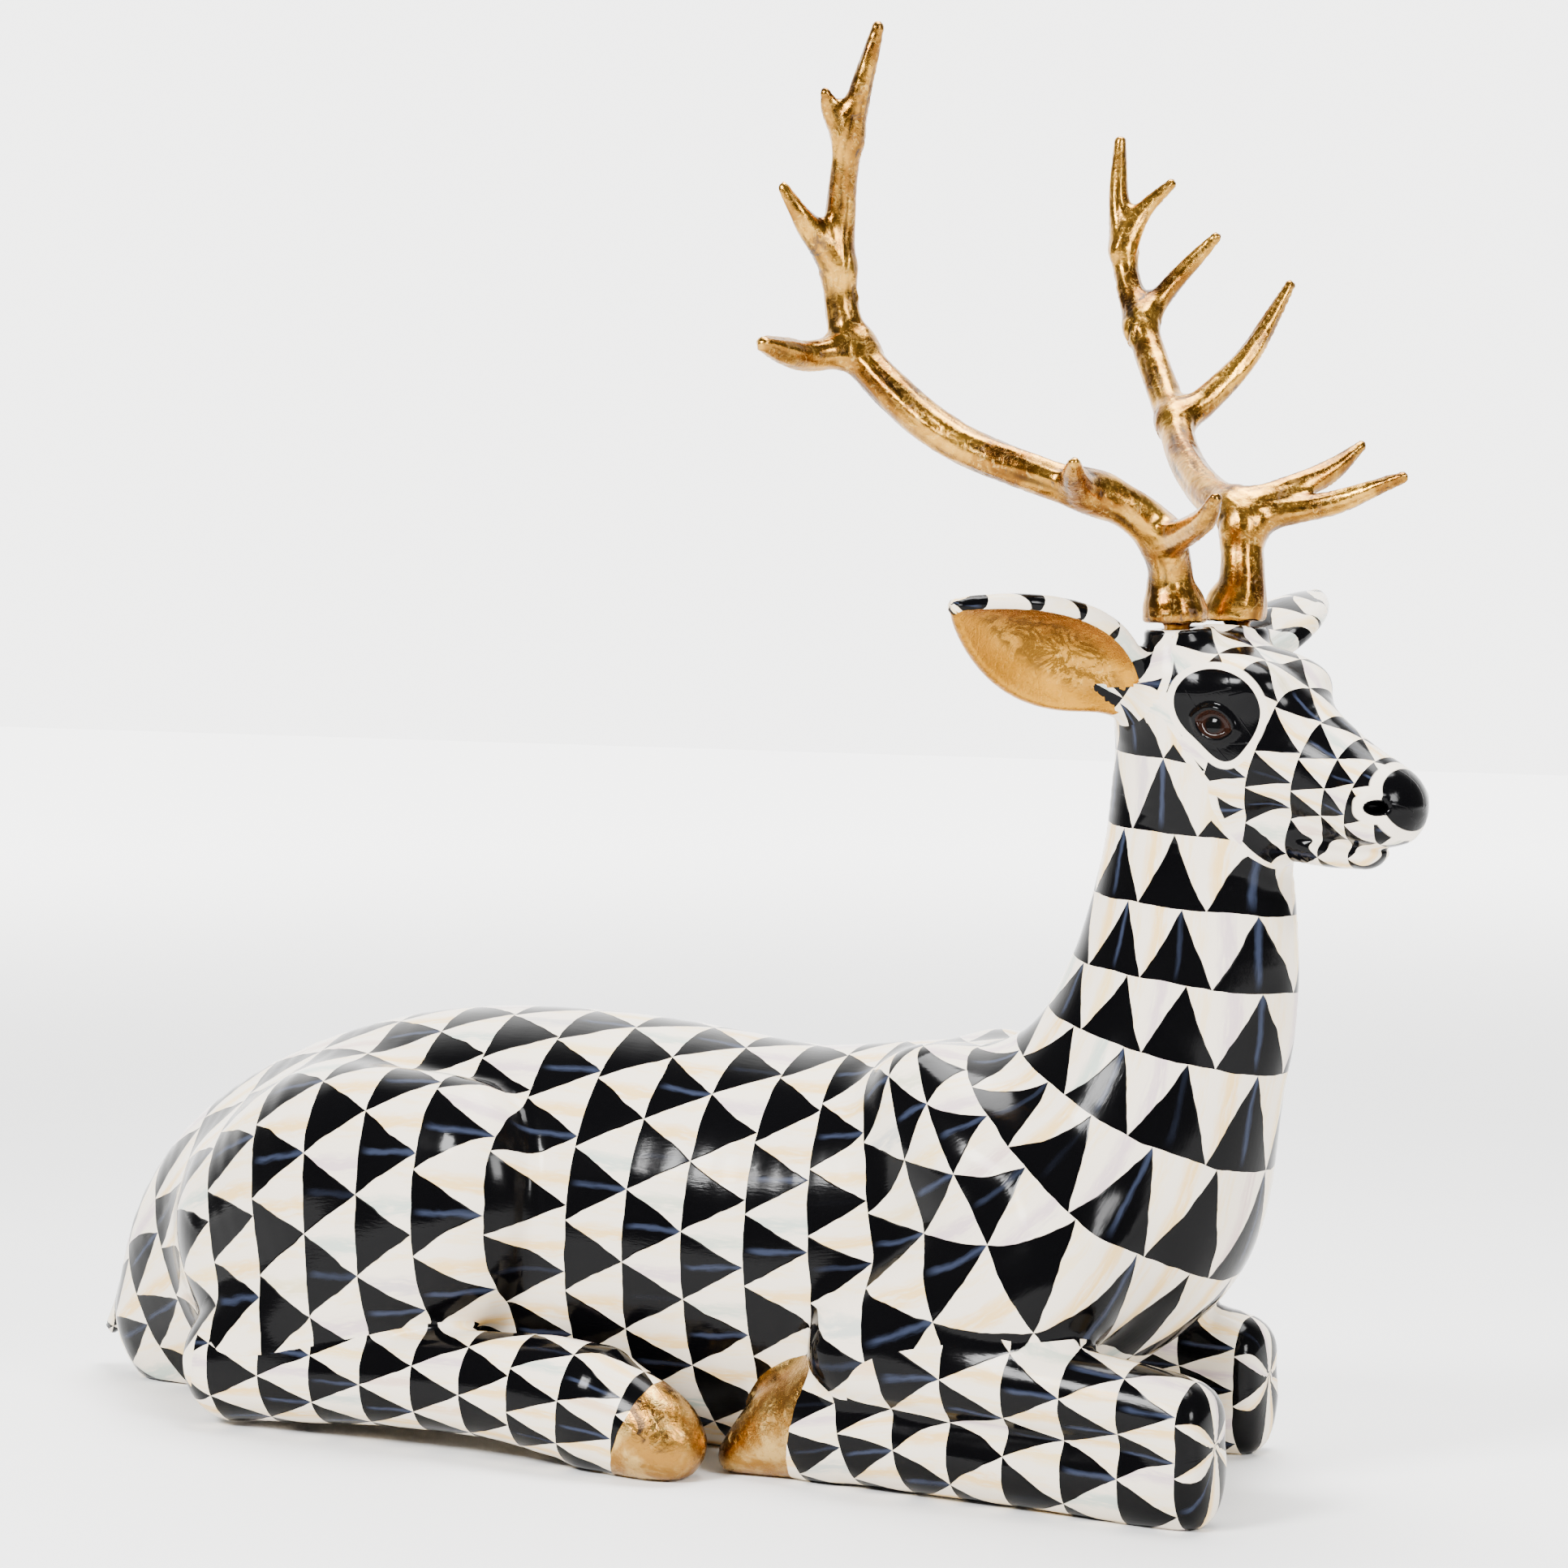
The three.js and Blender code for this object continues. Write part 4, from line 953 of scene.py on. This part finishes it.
SHEET_SCALE, WRINKLE_SCALE, WORN_SCALE = 26.0, 210.0, 75.0
WORN_DULLNESS, WORN_ROUGHNESS = 0.8, 0.5
RAGGED_SCALE, SMEAR_SCALE, FLECK_SCALE, FOLD_SCALE = 60.0, 24.0, 130.0, 30.0
EAR_HOLLOW_FROM, EAR_HOLLOW_TO = 10.0, 22.0
EDGE_BLUR, SHEEN_STROKE_WIDTH = 0.012, 0.06


def triangle_rows(s, counts):
    """Rows of black triangles standing on ivory: their masks and coordinates."""
    body_turn, body_row = s.uv("body_coat")
    part_turn, part_row = s.uv("part_coat")
    part_zone = s.attribute("part_zone")
    on_part = s.math("GREATER_THAN", part_zone, 0.0)
    turn, row = s.blend(on_part, body_turn, part_turn), s.blend(on_part, body_row, part_row)
    wobble, wobble_up = s.noise(s.coordinates(), 38.0), s.noise(s.coordinates(aside=3.7), 31.0)
    rows = s.shaken(row, wobble_up, ROW_WOBBLE)
    count = float(counts[0][1])
    for (at, number), (_, before) in zip(counts[1:], counts):
        if number != before:
            reached = s.math("GREATER_THAN", rows, float(at))
            count = s.math("MULTIPLY_ADD", reached, float(number - before), count)
    cells = s.shaken(s.times(turn, count), wobble, ROW_WOBBLE)
    lower = s.math("FLOOR", rows)
    height = s.minus(rows, lower)
    odd = s.times(s.math("MODULO", lower, 2.0), 0.5)
    shifted = s.plus(cells, odd)
    across = s.minus(s.math("FRACT", shifted), 0.5)
    edge = s.minus(s.minus(1.0, height), s.times(s.absolute(across), 2.0))
    by_face = s.math("LESS_THAN", part_row, 1.5 * ROWS_APART)
    border = s.times(s.ramp(s.absolute(part_zone), COAT_BORDER + 0.6, COAT_BORDER), by_face)
    between = s.ramp(s.attribute("part_gap"), COAT_BORDER + 1.6, COAT_BORDER + 1)
    border = s.math("MAXIMUM", border, between)
    black = s.times(s.ramp(edge, -EDGE_BLUR, EDGE_BLUR), s.minus(1.0, border))
    return dict(
        black=black, edge=edge, height=height, across=across,
        black_cell=s.vector(s.math("FLOOR", shifted), lower, 1.0),
        ivory_cell=s.vector(s.math("FLOOR", s.plus(shifted, 0.5)), lower, 2.0),
        ivory_across=s.math("FRACT", s.plus(shifted, 0.5)),
        stroke_at=s.vector(s.times(shifted, 9.0), s.times(rows, 1.2), 0.0),
    )


def ivory_paint(s, coat):
    """Ivory with soft brushed streaks of ochre, lilac and grey-green near the sides of each triangle."""
    value = s.cell_random(coat["ivory_cell"])
    brush = s.noise(coat["stroke_at"], 1.6, 4.0, 0.6)
    tint = s.mix(s.ramp(value, 0.45, 0.55), IVORY_STREAKS[0], IVORY_STREAKS[1])
    tint = s.mix(s.ramp(value, 0.70, 0.76), tint, IVORY_STREAKS[2])
    tint = s.mix(s.ramp(value, 0.86, 0.92), tint, IVORY_STREAKS[3])
    side = s.shaken(coat["ivory_across"], brush, 0.35)
    band = s.times(s.ramp(side, 0.20, 0.34), s.ramp(side, 0.52, 0.38))
    share = s.times(s.times(band, s.ramp(brush, 0.22, 0.52)), 0.85)
    second = s.times(s.ramp(side, 0.60, 0.74), s.ramp(brush, 0.40, 0.60))
    paint = s.mix(share, IVORY, tint)
    return s.mix(s.times(second, 0.45), paint, IVORY_STREAKS[3]), brush


def black_paint(s, coat, brush):
    """Black with one faint blue-grey stroke up the middle of each triangle: partly a brush stroke, partly a
    painted sheen.
    """
    value = s.cell_random(coat["black_cell"])
    middle = s.shaken(s.absolute(coat["across"]), brush, 0.1)
    # A blue-grey stroke up the middle of the triangle, part brush mark and part painted sheen.
    sheen_stroke = s.times(s.ramp(middle, SHEEN_STROKE_WIDTH, 0.0), s.ramp(coat["height"], 0.0, 0.25))
    sheen_stroke = s.times(sheen_stroke, s.ramp(value, 0.35, 0.7))
    return s.mix(sheen_stroke, BLACK, BLACK_STROKE_AND_SHEEN)


def gold_leaf(s):
    """Rubbed gold leaf over dark size: bright sheets, deeper folds, brown where it has worn through."""
    where = s.coordinates()
    sheets = s.noise(where, SHEET_SCALE, 5.0, 0.6, 0.6)
    wrinkles = s.noise(where, WRINKLE_SCALE, 6.0, 0.65, 1.2)
    worn = s.noise(where, WORN_SCALE, 6.0, 0.7, 0.8)
    colour = s.mix(s.ramp(sheets, 0.35, 0.70), GOLD_DEEP, GOLD)
    colour = s.mix(s.times(s.ramp(wrinkles, 0.52, 0.72), 0.6), colour, GOLD_PALE)
    bare = s.times(s.ramp(worn, 0.56, 0.66), s.ramp(sheets, 0.62, 0.40))
    colour = s.mix(bare, colour, ANTIQUE_BROWN)
    rough = s.blend(bare, s.ramp(wrinkles, 0.3, 0.7, 0.13, 0.30), WORN_ROUGHNESS)
    height = s.plus(s.times(wrinkles, 0.6), s.times(worn, -0.5))
    return colour, rough, height, bare


def enamel_finish(counts):
    s = Shader("painted_coat")
    coat = triangle_rows(s, counts)
    ivory, brush = ivory_paint(s, coat)
    black = black_paint(s, coat, brush)
    paint = s.mix(coat["black"], ivory, black)
    border = s.ramp(s.attribute("patch_zone"), -PATCH_BORDER - 0.5, -PATCH_BORDER + 0.5)
    paint = s.mix(border, paint, IVORY)
    patch = s.ramp(s.attribute("patch_zone"), -0.25, 0.25)
    paint = s.mix(patch, paint, BLACK)
    eye = s.ramp(s.attribute("eye_zone"), -0.2, 0.2)
    iris = s.mix(s.ramp(s.attribute("pupil_zone"), -1.5, 1.0), EYE_BROWN, PUPIL_BLACK)
    paint = s.mix(eye, paint, iris)
    gold, gold_rough, gold_height, bare = gold_leaf(s)
    ragged = s.noise(s.coordinates(), RAGGED_SCALE)
    hoof_edge = s.shaken(s.attribute("hoof_zone"), ragged, 2 * HOOF_RAGGEDNESS)
    hoof = s.ramp(hoof_edge, -0.3, 0.3)
    metal_edge = s.math("MAXIMUM", hoof_edge, s.attribute("ear_zone"))
    metal = s.ramp(metal_edge, -0.3, 0.3)
    smear = s.noise(s.coordinates(), SMEAR_SCALE, 4.0, 0.6, 0.6)
    fleck = s.noise(s.coordinates(aside=1.3), FLECK_SCALE, 5.0, 0.7)
    hoof_colour = s.mix(s.ramp(smear, 0.44, 0.58), HOOF_BRONZE, HOOF_PALE)
    hoof_colour = s.mix(s.times(s.ramp(fleck, 0.54, 0.64), 0.7), hoof_colour, HOOF_BRONZE)
    hoof_colour = s.mix(s.ramp(smear, 0.40, 0.34), hoof_colour, HOOF_DARK)
    hollow = s.ramp(s.attribute("ear_middle"), EAR_HOLLOW_FROM, EAR_HOLLOW_TO)
    folds = s.noise(s.coordinates(), FOLD_SCALE, 8.0, 0.75, 1.0)
    cracks = s.ramp(s.absolute(s.minus(folds, 0.5)), 0.06, 0.015)
    ear_leaf = s.mix(s.times(hollow, cracks), gold, ANTIQUE_BROWN)
    leaf = s.mix(hoof, s.mix(s.blend(hollow, 0.75, 0.25), ear_leaf, EAR_GLOW), hoof_colour)
    colour = s.mix(metal, paint, leaf)
    s.feed(s.surface.inputs["Base Color"], colour)
    s.feed(s.surface.inputs["Metallic"], s.times(metal, s.minus(1.0, s.times(bare, WORN_DULLNESS))))
    glaze = s.ramp(s.noise(s.coordinates(), GLAZE_SCALE, 3.0), 0.3, 0.7, GLAZE_SMOOTH, GLAZE_DULL)
    glaze = s.blend(eye, glaze, EYE_GLOSS)
    s.feed(s.surface.inputs["Roughness"], s.blend(metal, glaze, gold_rough))
    ridge = s.times(s.ramp(s.absolute(coat["edge"]), 0.05, 0.0), 0.6)
    strokes = s.noise(coat["stroke_at"], 3.0, 3.0, 0.6)
    height = s.plus(ridge, s.times(strokes, 0.5))
    height = s.times(height, s.minus(1.0, eye))
    paint_bump = s.bump(height, PAINT_RELIEF, 0.35)
    s.feed(s.surface.inputs["Normal"], s.bump(s.times(gold_height, metal), EAR_RELIEF, 0.6, paint_bump))
    s.surface.inputs["Specular IOR Level"].default_value = ENAMEL_SPECULAR
    return s.material


def antler_finish():
    s = Shader("gilded_antler")
    colour, rough, height, bare = gold_leaf(s)
    groove = s.attribute("groove")
    colour = s.mix(s.times(s.ramp(groove, 0.52, 0.32), 0.85), colour, ANTIQUE_BROWN)
    s.feed(s.surface.inputs["Base Color"], colour)
    s.feed(s.surface.inputs["Metallic"], s.minus(1.0, s.times(bare, WORN_DULLNESS)))
    s.feed(s.surface.inputs["Roughness"], rough)
    s.feed(s.surface.inputs["Normal"], s.bump(height, LEAF_RELIEF, 0.45))
    return s.material


# The antlers' lattice, and the inputs of their relief.
ANTLER_MARGIN, PEG_MARGIN = 34, 8
RELIEF = {
    "Groove depth": 1.5 * MM, "Pit depth": 0.7 * MM, "Grooves around": 9.0,
    "Seed": float(RANDOM_SEED),
}
GROOVE_LEVEL, GROOVE_CONTRAST, GROOVE_PITCH = 0.55, 2.6, 0.018
PIT_SCALE = 240.0
BRANCHES_APART = 500


def make_antler(name, branches, material):
    field = antler_field(branches)
    stations = from_head([s[:3] for branch in branches for s in branch])
    low, high = stations.min(0) - ANTLER_MARGIN, stations.max(0) + ANTLER_MARGIN
    low[2] = HEAD_PLACE[2] + PEG_BOTTOM - PEG_MARGIN
    points, quads = skin(field, low, high, ANTLER_LATTICE)
    points = settle(points, field, 2, 2.0)
    points = relax(points, quads, 3, np.ones(len(points)))
    mesh = new_mesh(name, points, quads, [])[0]
    add_values(mesh, antler_grain(points, branches))
    rough_piece = bpy.data.objects.new(name + "_smooth", mesh)
    bpy.context.scene.collection.objects.link(rough_piece)
    tree = relief_tree(material)
    modifier = rough_piece.modifiers.new("relief", "NODES")
    modifier.node_group = tree
    for item in tree.interface.items_tree:
        if item.in_out == "INPUT" and item.name in RELIEF:
            modifier[item.identifier] = RELIEF[item.name]
    bpy.context.view_layer.update()
    evaluated = rough_piece.evaluated_get(bpy.context.evaluated_depsgraph_get())
    finished = bpy.data.meshes.new_from_object(evaluated)
    bpy.data.objects.remove(rough_piece)
    piece = bpy.data.objects.new(name, finished)
    finished.name = name
    bpy.context.scene.collection.objects.link(piece)
    return piece


def antler_grain(points, branches):
    """For each point the branch it lies on: the distance along it and the turn around it."""
    h = to_head(points)
    best = np.full(len(points), FAR_AWAY)
    grain = {key: np.zeros(len(points)) for key in ("along", "turn_x", "turn_y")}
    for number, branch in enumerate(branches):
        path = np.array(branch)[:, :3]
        side = np.eye(3)[np.argmin(np.abs(path[-1] - path[0]))]
        coat = Coat(path, (1, 1), 1, 0, 6, whole, (), side)
        row, turn, reach = coat.place(h)
        radii = smooth_run([(s[3],) for s in branch], SPINE_STEPS)[:, 0]
        first, last = coat.ends
        over = reach - np.interp(row, coat.rows[first : last + 1], radii)
        closer = over < best
        best = np.where(closer, over, best)
        grain["along"] = np.where(closer, row + BRANCHES_APART * number, grain["along"])
        grain["turn_x"] = np.where(closer, np.cos(2 * np.pi * turn), grain["turn_x"])
        grain["turn_y"] = np.where(closer, np.sin(2 * np.pi * turn), grain["turn_y"])
    return grain


def relief_tree(material):
    """Shallow grooves that run along each branch, broken by small pits, cut into the surface."""
    tree = bpy.data.node_groups.new("antler_relief", "GeometryNodeTree")
    tree.interface.new_socket("Geometry", in_out="INPUT", socket_type="NodeSocketGeometry")
    for name, value in RELIEF.items():
        socket = tree.interface.new_socket(name, in_out="INPUT", socket_type="NodeSocketFloat")
        socket.default_value = value
    tree.interface.new_socket("Geometry", in_out="OUTPUT", socket_type="NodeSocketGeometry")
    nodes, link = tree.nodes, tree.links.new
    given, result = nodes.new("NodeGroupInput"), nodes.new("NodeGroupOutput")

    def attribute(name):
        node = nodes.new("GeometryNodeInputNamedAttribute")
        node.data_type = "FLOAT"
        node.inputs["Name"].default_value = name
        return node.outputs["Attribute"]

    def math(operation, a, b):
        node = nodes.new("ShaderNodeMath")
        node.operation = operation
        for socket, value in zip(node.inputs, (a, b)):
            if isinstance(value, bpy.types.NodeSocket):
                link(value, socket)
            else:
                socket.default_value = value
        return node.outputs[0]

    def noise(vector, scale, detail):
        node = nodes.new("ShaderNodeTexNoise")
        node.noise_dimensions = "4D"
        link(vector, node.inputs["Vector"])
        link(given.outputs["Seed"], node.inputs["W"])
        node.inputs["Scale"].default_value = scale
        node.inputs["Detail"].default_value = detail
        return node.outputs["Fac"]

    around = nodes.new("ShaderNodeCombineXYZ")
    spread = math("DIVIDE", given.outputs["Grooves around"], 4.0)
    link(math("MULTIPLY", attribute("turn_x"), spread), around.inputs[0])
    link(math("MULTIPLY", attribute("turn_y"), spread), around.inputs[1])
    link(math("MULTIPLY", attribute("along"), GROOVE_PITCH), around.inputs[2])
    groove = noise(around.outputs[0], 1.0, 2.0)
    pits = noise(nodes.new("GeometryNodeInputPosition").outputs[0], PIT_SCALE, 3.0)
    sunk = math("MULTIPLY", math("SUBTRACT", groove, GROOVE_LEVEL), given.outputs["Groove depth"])
    sunk = math("MULTIPLY", sunk, GROOVE_CONTRAST)
    pitted = math("MULTIPLY", math("SUBTRACT", pits, 0.5), given.outputs["Pit depth"])
    offset = nodes.new("ShaderNodeVectorMath")
    offset.operation = "SCALE"
    link(nodes.new("GeometryNodeInputNormal").outputs[0], offset.inputs[0])
    link(math("ADD", sunk, pitted), offset.inputs["Scale"])
    move = nodes.new("GeometryNodeSetPosition")
    link(given.outputs["Geometry"], move.inputs["Geometry"])
    link(offset.outputs[0], move.inputs["Offset"])
    keep = nodes.new("GeometryNodeStoreNamedAttribute")
    keep.data_type = "FLOAT"
    keep.inputs["Name"].default_value = "groove"
    link(move.outputs[0], keep.inputs["Geometry"])
    link(groove, keep.inputs["Value"])
    realize = nodes.new("GeometryNodeRealizeInstances")
    link(keep.outputs[0], realize.inputs[0])
    paint = nodes.new("GeometryNodeSetMaterial")
    paint.inputs["Material"].default_value = material
    link(realize.outputs[0], paint.inputs["Geometry"])
    link(paint.outputs[0], result.inputs[0])
    return tree


# Camera at the photo's viewing angle: off the stag's right shoulder, a little above its back.
IMAGE_SIZE = 1932
FOCAL_PIXELS = 5833
SENSOR_WIDTH = 36.0
CAMERA_PLACE = Vector((1.750, -3.031, 0.706))
ORIGIN_COLUMN = 900
HORIZON_ROW = 600

# Soft light: places and sizes in metres, then brightness.
ROOM_LIGHT, BACKDROP_LIGHT = 0.30, 4.6
FLOOR_GLOW_FROM, FLOOR_GLOW_TO, FLOOR_GLOW = 1.4, 6.0, 3.8
FLOOR_HALF = 8.0
FLOOR_GREY, FLOOR_WHITE = (0.86, 0.86, 0.86, 1), (0.90, 0.90, 0.89, 1)
BACKDROP_SIDE = (-0.49, 0.86, 0.12)
BACKDROP_FROM, BACKDROP_TO = 0.35, 0.85
WARM_WHITE = (1.0, 0.995, 0.985, 1)
LIGHTS_AIM = Vector((0, 0, 0.35))
SOFT_BOXES = [
    ("key", (-0.9, -3.3, 2.6), (1.1, 1.0), 105.0),
    ("fill", (3.4, -1.5, 2.0), (0.9, 1.2), 46.0),
    ("top", (0.2, 0.6, 3.4), (2.0, 1.5), 28.0),
]


def make_camera():
    data = bpy.data.cameras.new("camera")
    data.sensor_width = SENSOR_WIDTH
    data.lens = FOCAL_PIXELS / IMAGE_SIZE * SENSOR_WIDTH
    camera = bpy.data.objects.new("camera", data)
    bpy.context.scene.collection.objects.link(camera)
    towards = Vector((-CAMERA_PLACE.x, -CAMERA_PLACE.y, 0)).normalized()
    right = towards.cross(Vector((0, 0, 1)))
    middle = IMAGE_SIZE / 2
    level = (towards + right * (middle - ORIGIN_COLUMN) / FOCAL_PIXELS).normalized()
    look = level - Vector((0, 0, 1)) * (middle - HORIZON_ROW) / FOCAL_PIXELS
    camera.rotation_euler = look.to_track_quat("-Z", "Y").to_euler()
    camera.location = CAMERA_PLACE
    bpy.context.scene.camera = camera


def make_lights():
    """A dim room that is white on the side behind the stag, lit by large soft boxes."""
    world = bpy.data.worlds.new("studio")
    world.use_nodes = True
    nodes, link = world.node_tree.nodes, world.node_tree.links.new
    towards = nodes.new("ShaderNodeVectorMath")
    towards.operation = "DOT_PRODUCT"
    link(nodes.new("ShaderNodeTexCoord").outputs["Generated"], towards.inputs[0])
    towards.inputs[1].default_value = BACKDROP_SIDE
    wall = nodes.new("ShaderNodeMapRange")
    wall.interpolation_type = "SMOOTHSTEP"
    link(towards.outputs["Value"], wall.inputs[0])
    for socket, value in zip(wall.inputs[1:5], (BACKDROP_FROM, BACKDROP_TO, ROOM_LIGHT, BACKDROP_LIGHT)):
        socket.default_value = value
    background = nodes["Background"]
    background.inputs[0].default_value = WARM_WHITE
    link(wall.outputs[0], background.inputs[1])
    bpy.context.scene.world = world
    for name, place, size, brightness in SOFT_BOXES:
        data = bpy.data.lights.new(name, "AREA")
        data.shape = "RECTANGLE"
        data.size, data.size_y = size
        data.energy = brightness * np.pi * size[0] * size[1]
        lamp = bpy.data.objects.new(name, data)
        lamp.location = place
        lamp.rotation_euler = (LIGHTS_AIM - Vector(place)).to_track_quat("-Z", "Y").to_euler()
        bpy.context.scene.collection.objects.link(lamp)


def make_floor():
    mesh = bpy.data.meshes.new("floor")
    corners = [(i * FLOOR_HALF, j * FLOOR_HALF, 0) for i, j in ((-1, -1), (1, -1), (1, 1), (-1, 1))]
    mesh.from_pydata(corners, [], [(0, 1, 2, 3)])
    s = Shader("studio_floor")
    clouds = s.noise(s.coordinates(), 3.0)
    s.feed(s.surface.inputs["Base Color"], s.mix(clouds, FLOOR_GREY, FLOOR_WHITE))
    s.surface.inputs["Roughness"].default_value = 0.6
    away = s.tree.nodes.new("ShaderNodeVectorMath")
    away.operation = "LENGTH"
    s.feed(away.inputs[0], s.coordinates())
    glow = s.ramp(away.outputs["Value"], FLOOR_GLOW_FROM, FLOOR_GLOW_TO, 0.0, FLOOR_GLOW)
    s.surface.inputs["Emission Color"].default_value = WARM_WHITE
    s.feed(s.surface.inputs["Emission Strength"], glow)
    mesh.materials.append(s.material)
    floor = bpy.data.objects.new("floor", mesh)
    bpy.context.scene.collection.objects.link(floor)
    floor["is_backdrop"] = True


make_camera()
make_lights()
make_floor()

body, row_counts = make_body()
body.data.materials.append(enamel_finish(row_counts))
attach(body, "root")
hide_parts("stag_body")

gilding = antler_finish()
for antler_name, antler_branches in (("right_antler", RIGHT_ANTLER), ("left_antler", LEFT_ANTLER)):
    antler = make_antler("gilded_" + antler_name, antler_branches, gilding)
    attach(antler, "root")
    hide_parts(antler_name)

boxes = {"cad": cad_box, "visual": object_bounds()}
{key: [list(corner) for corner in pair] for key, pair in boxes.items()}
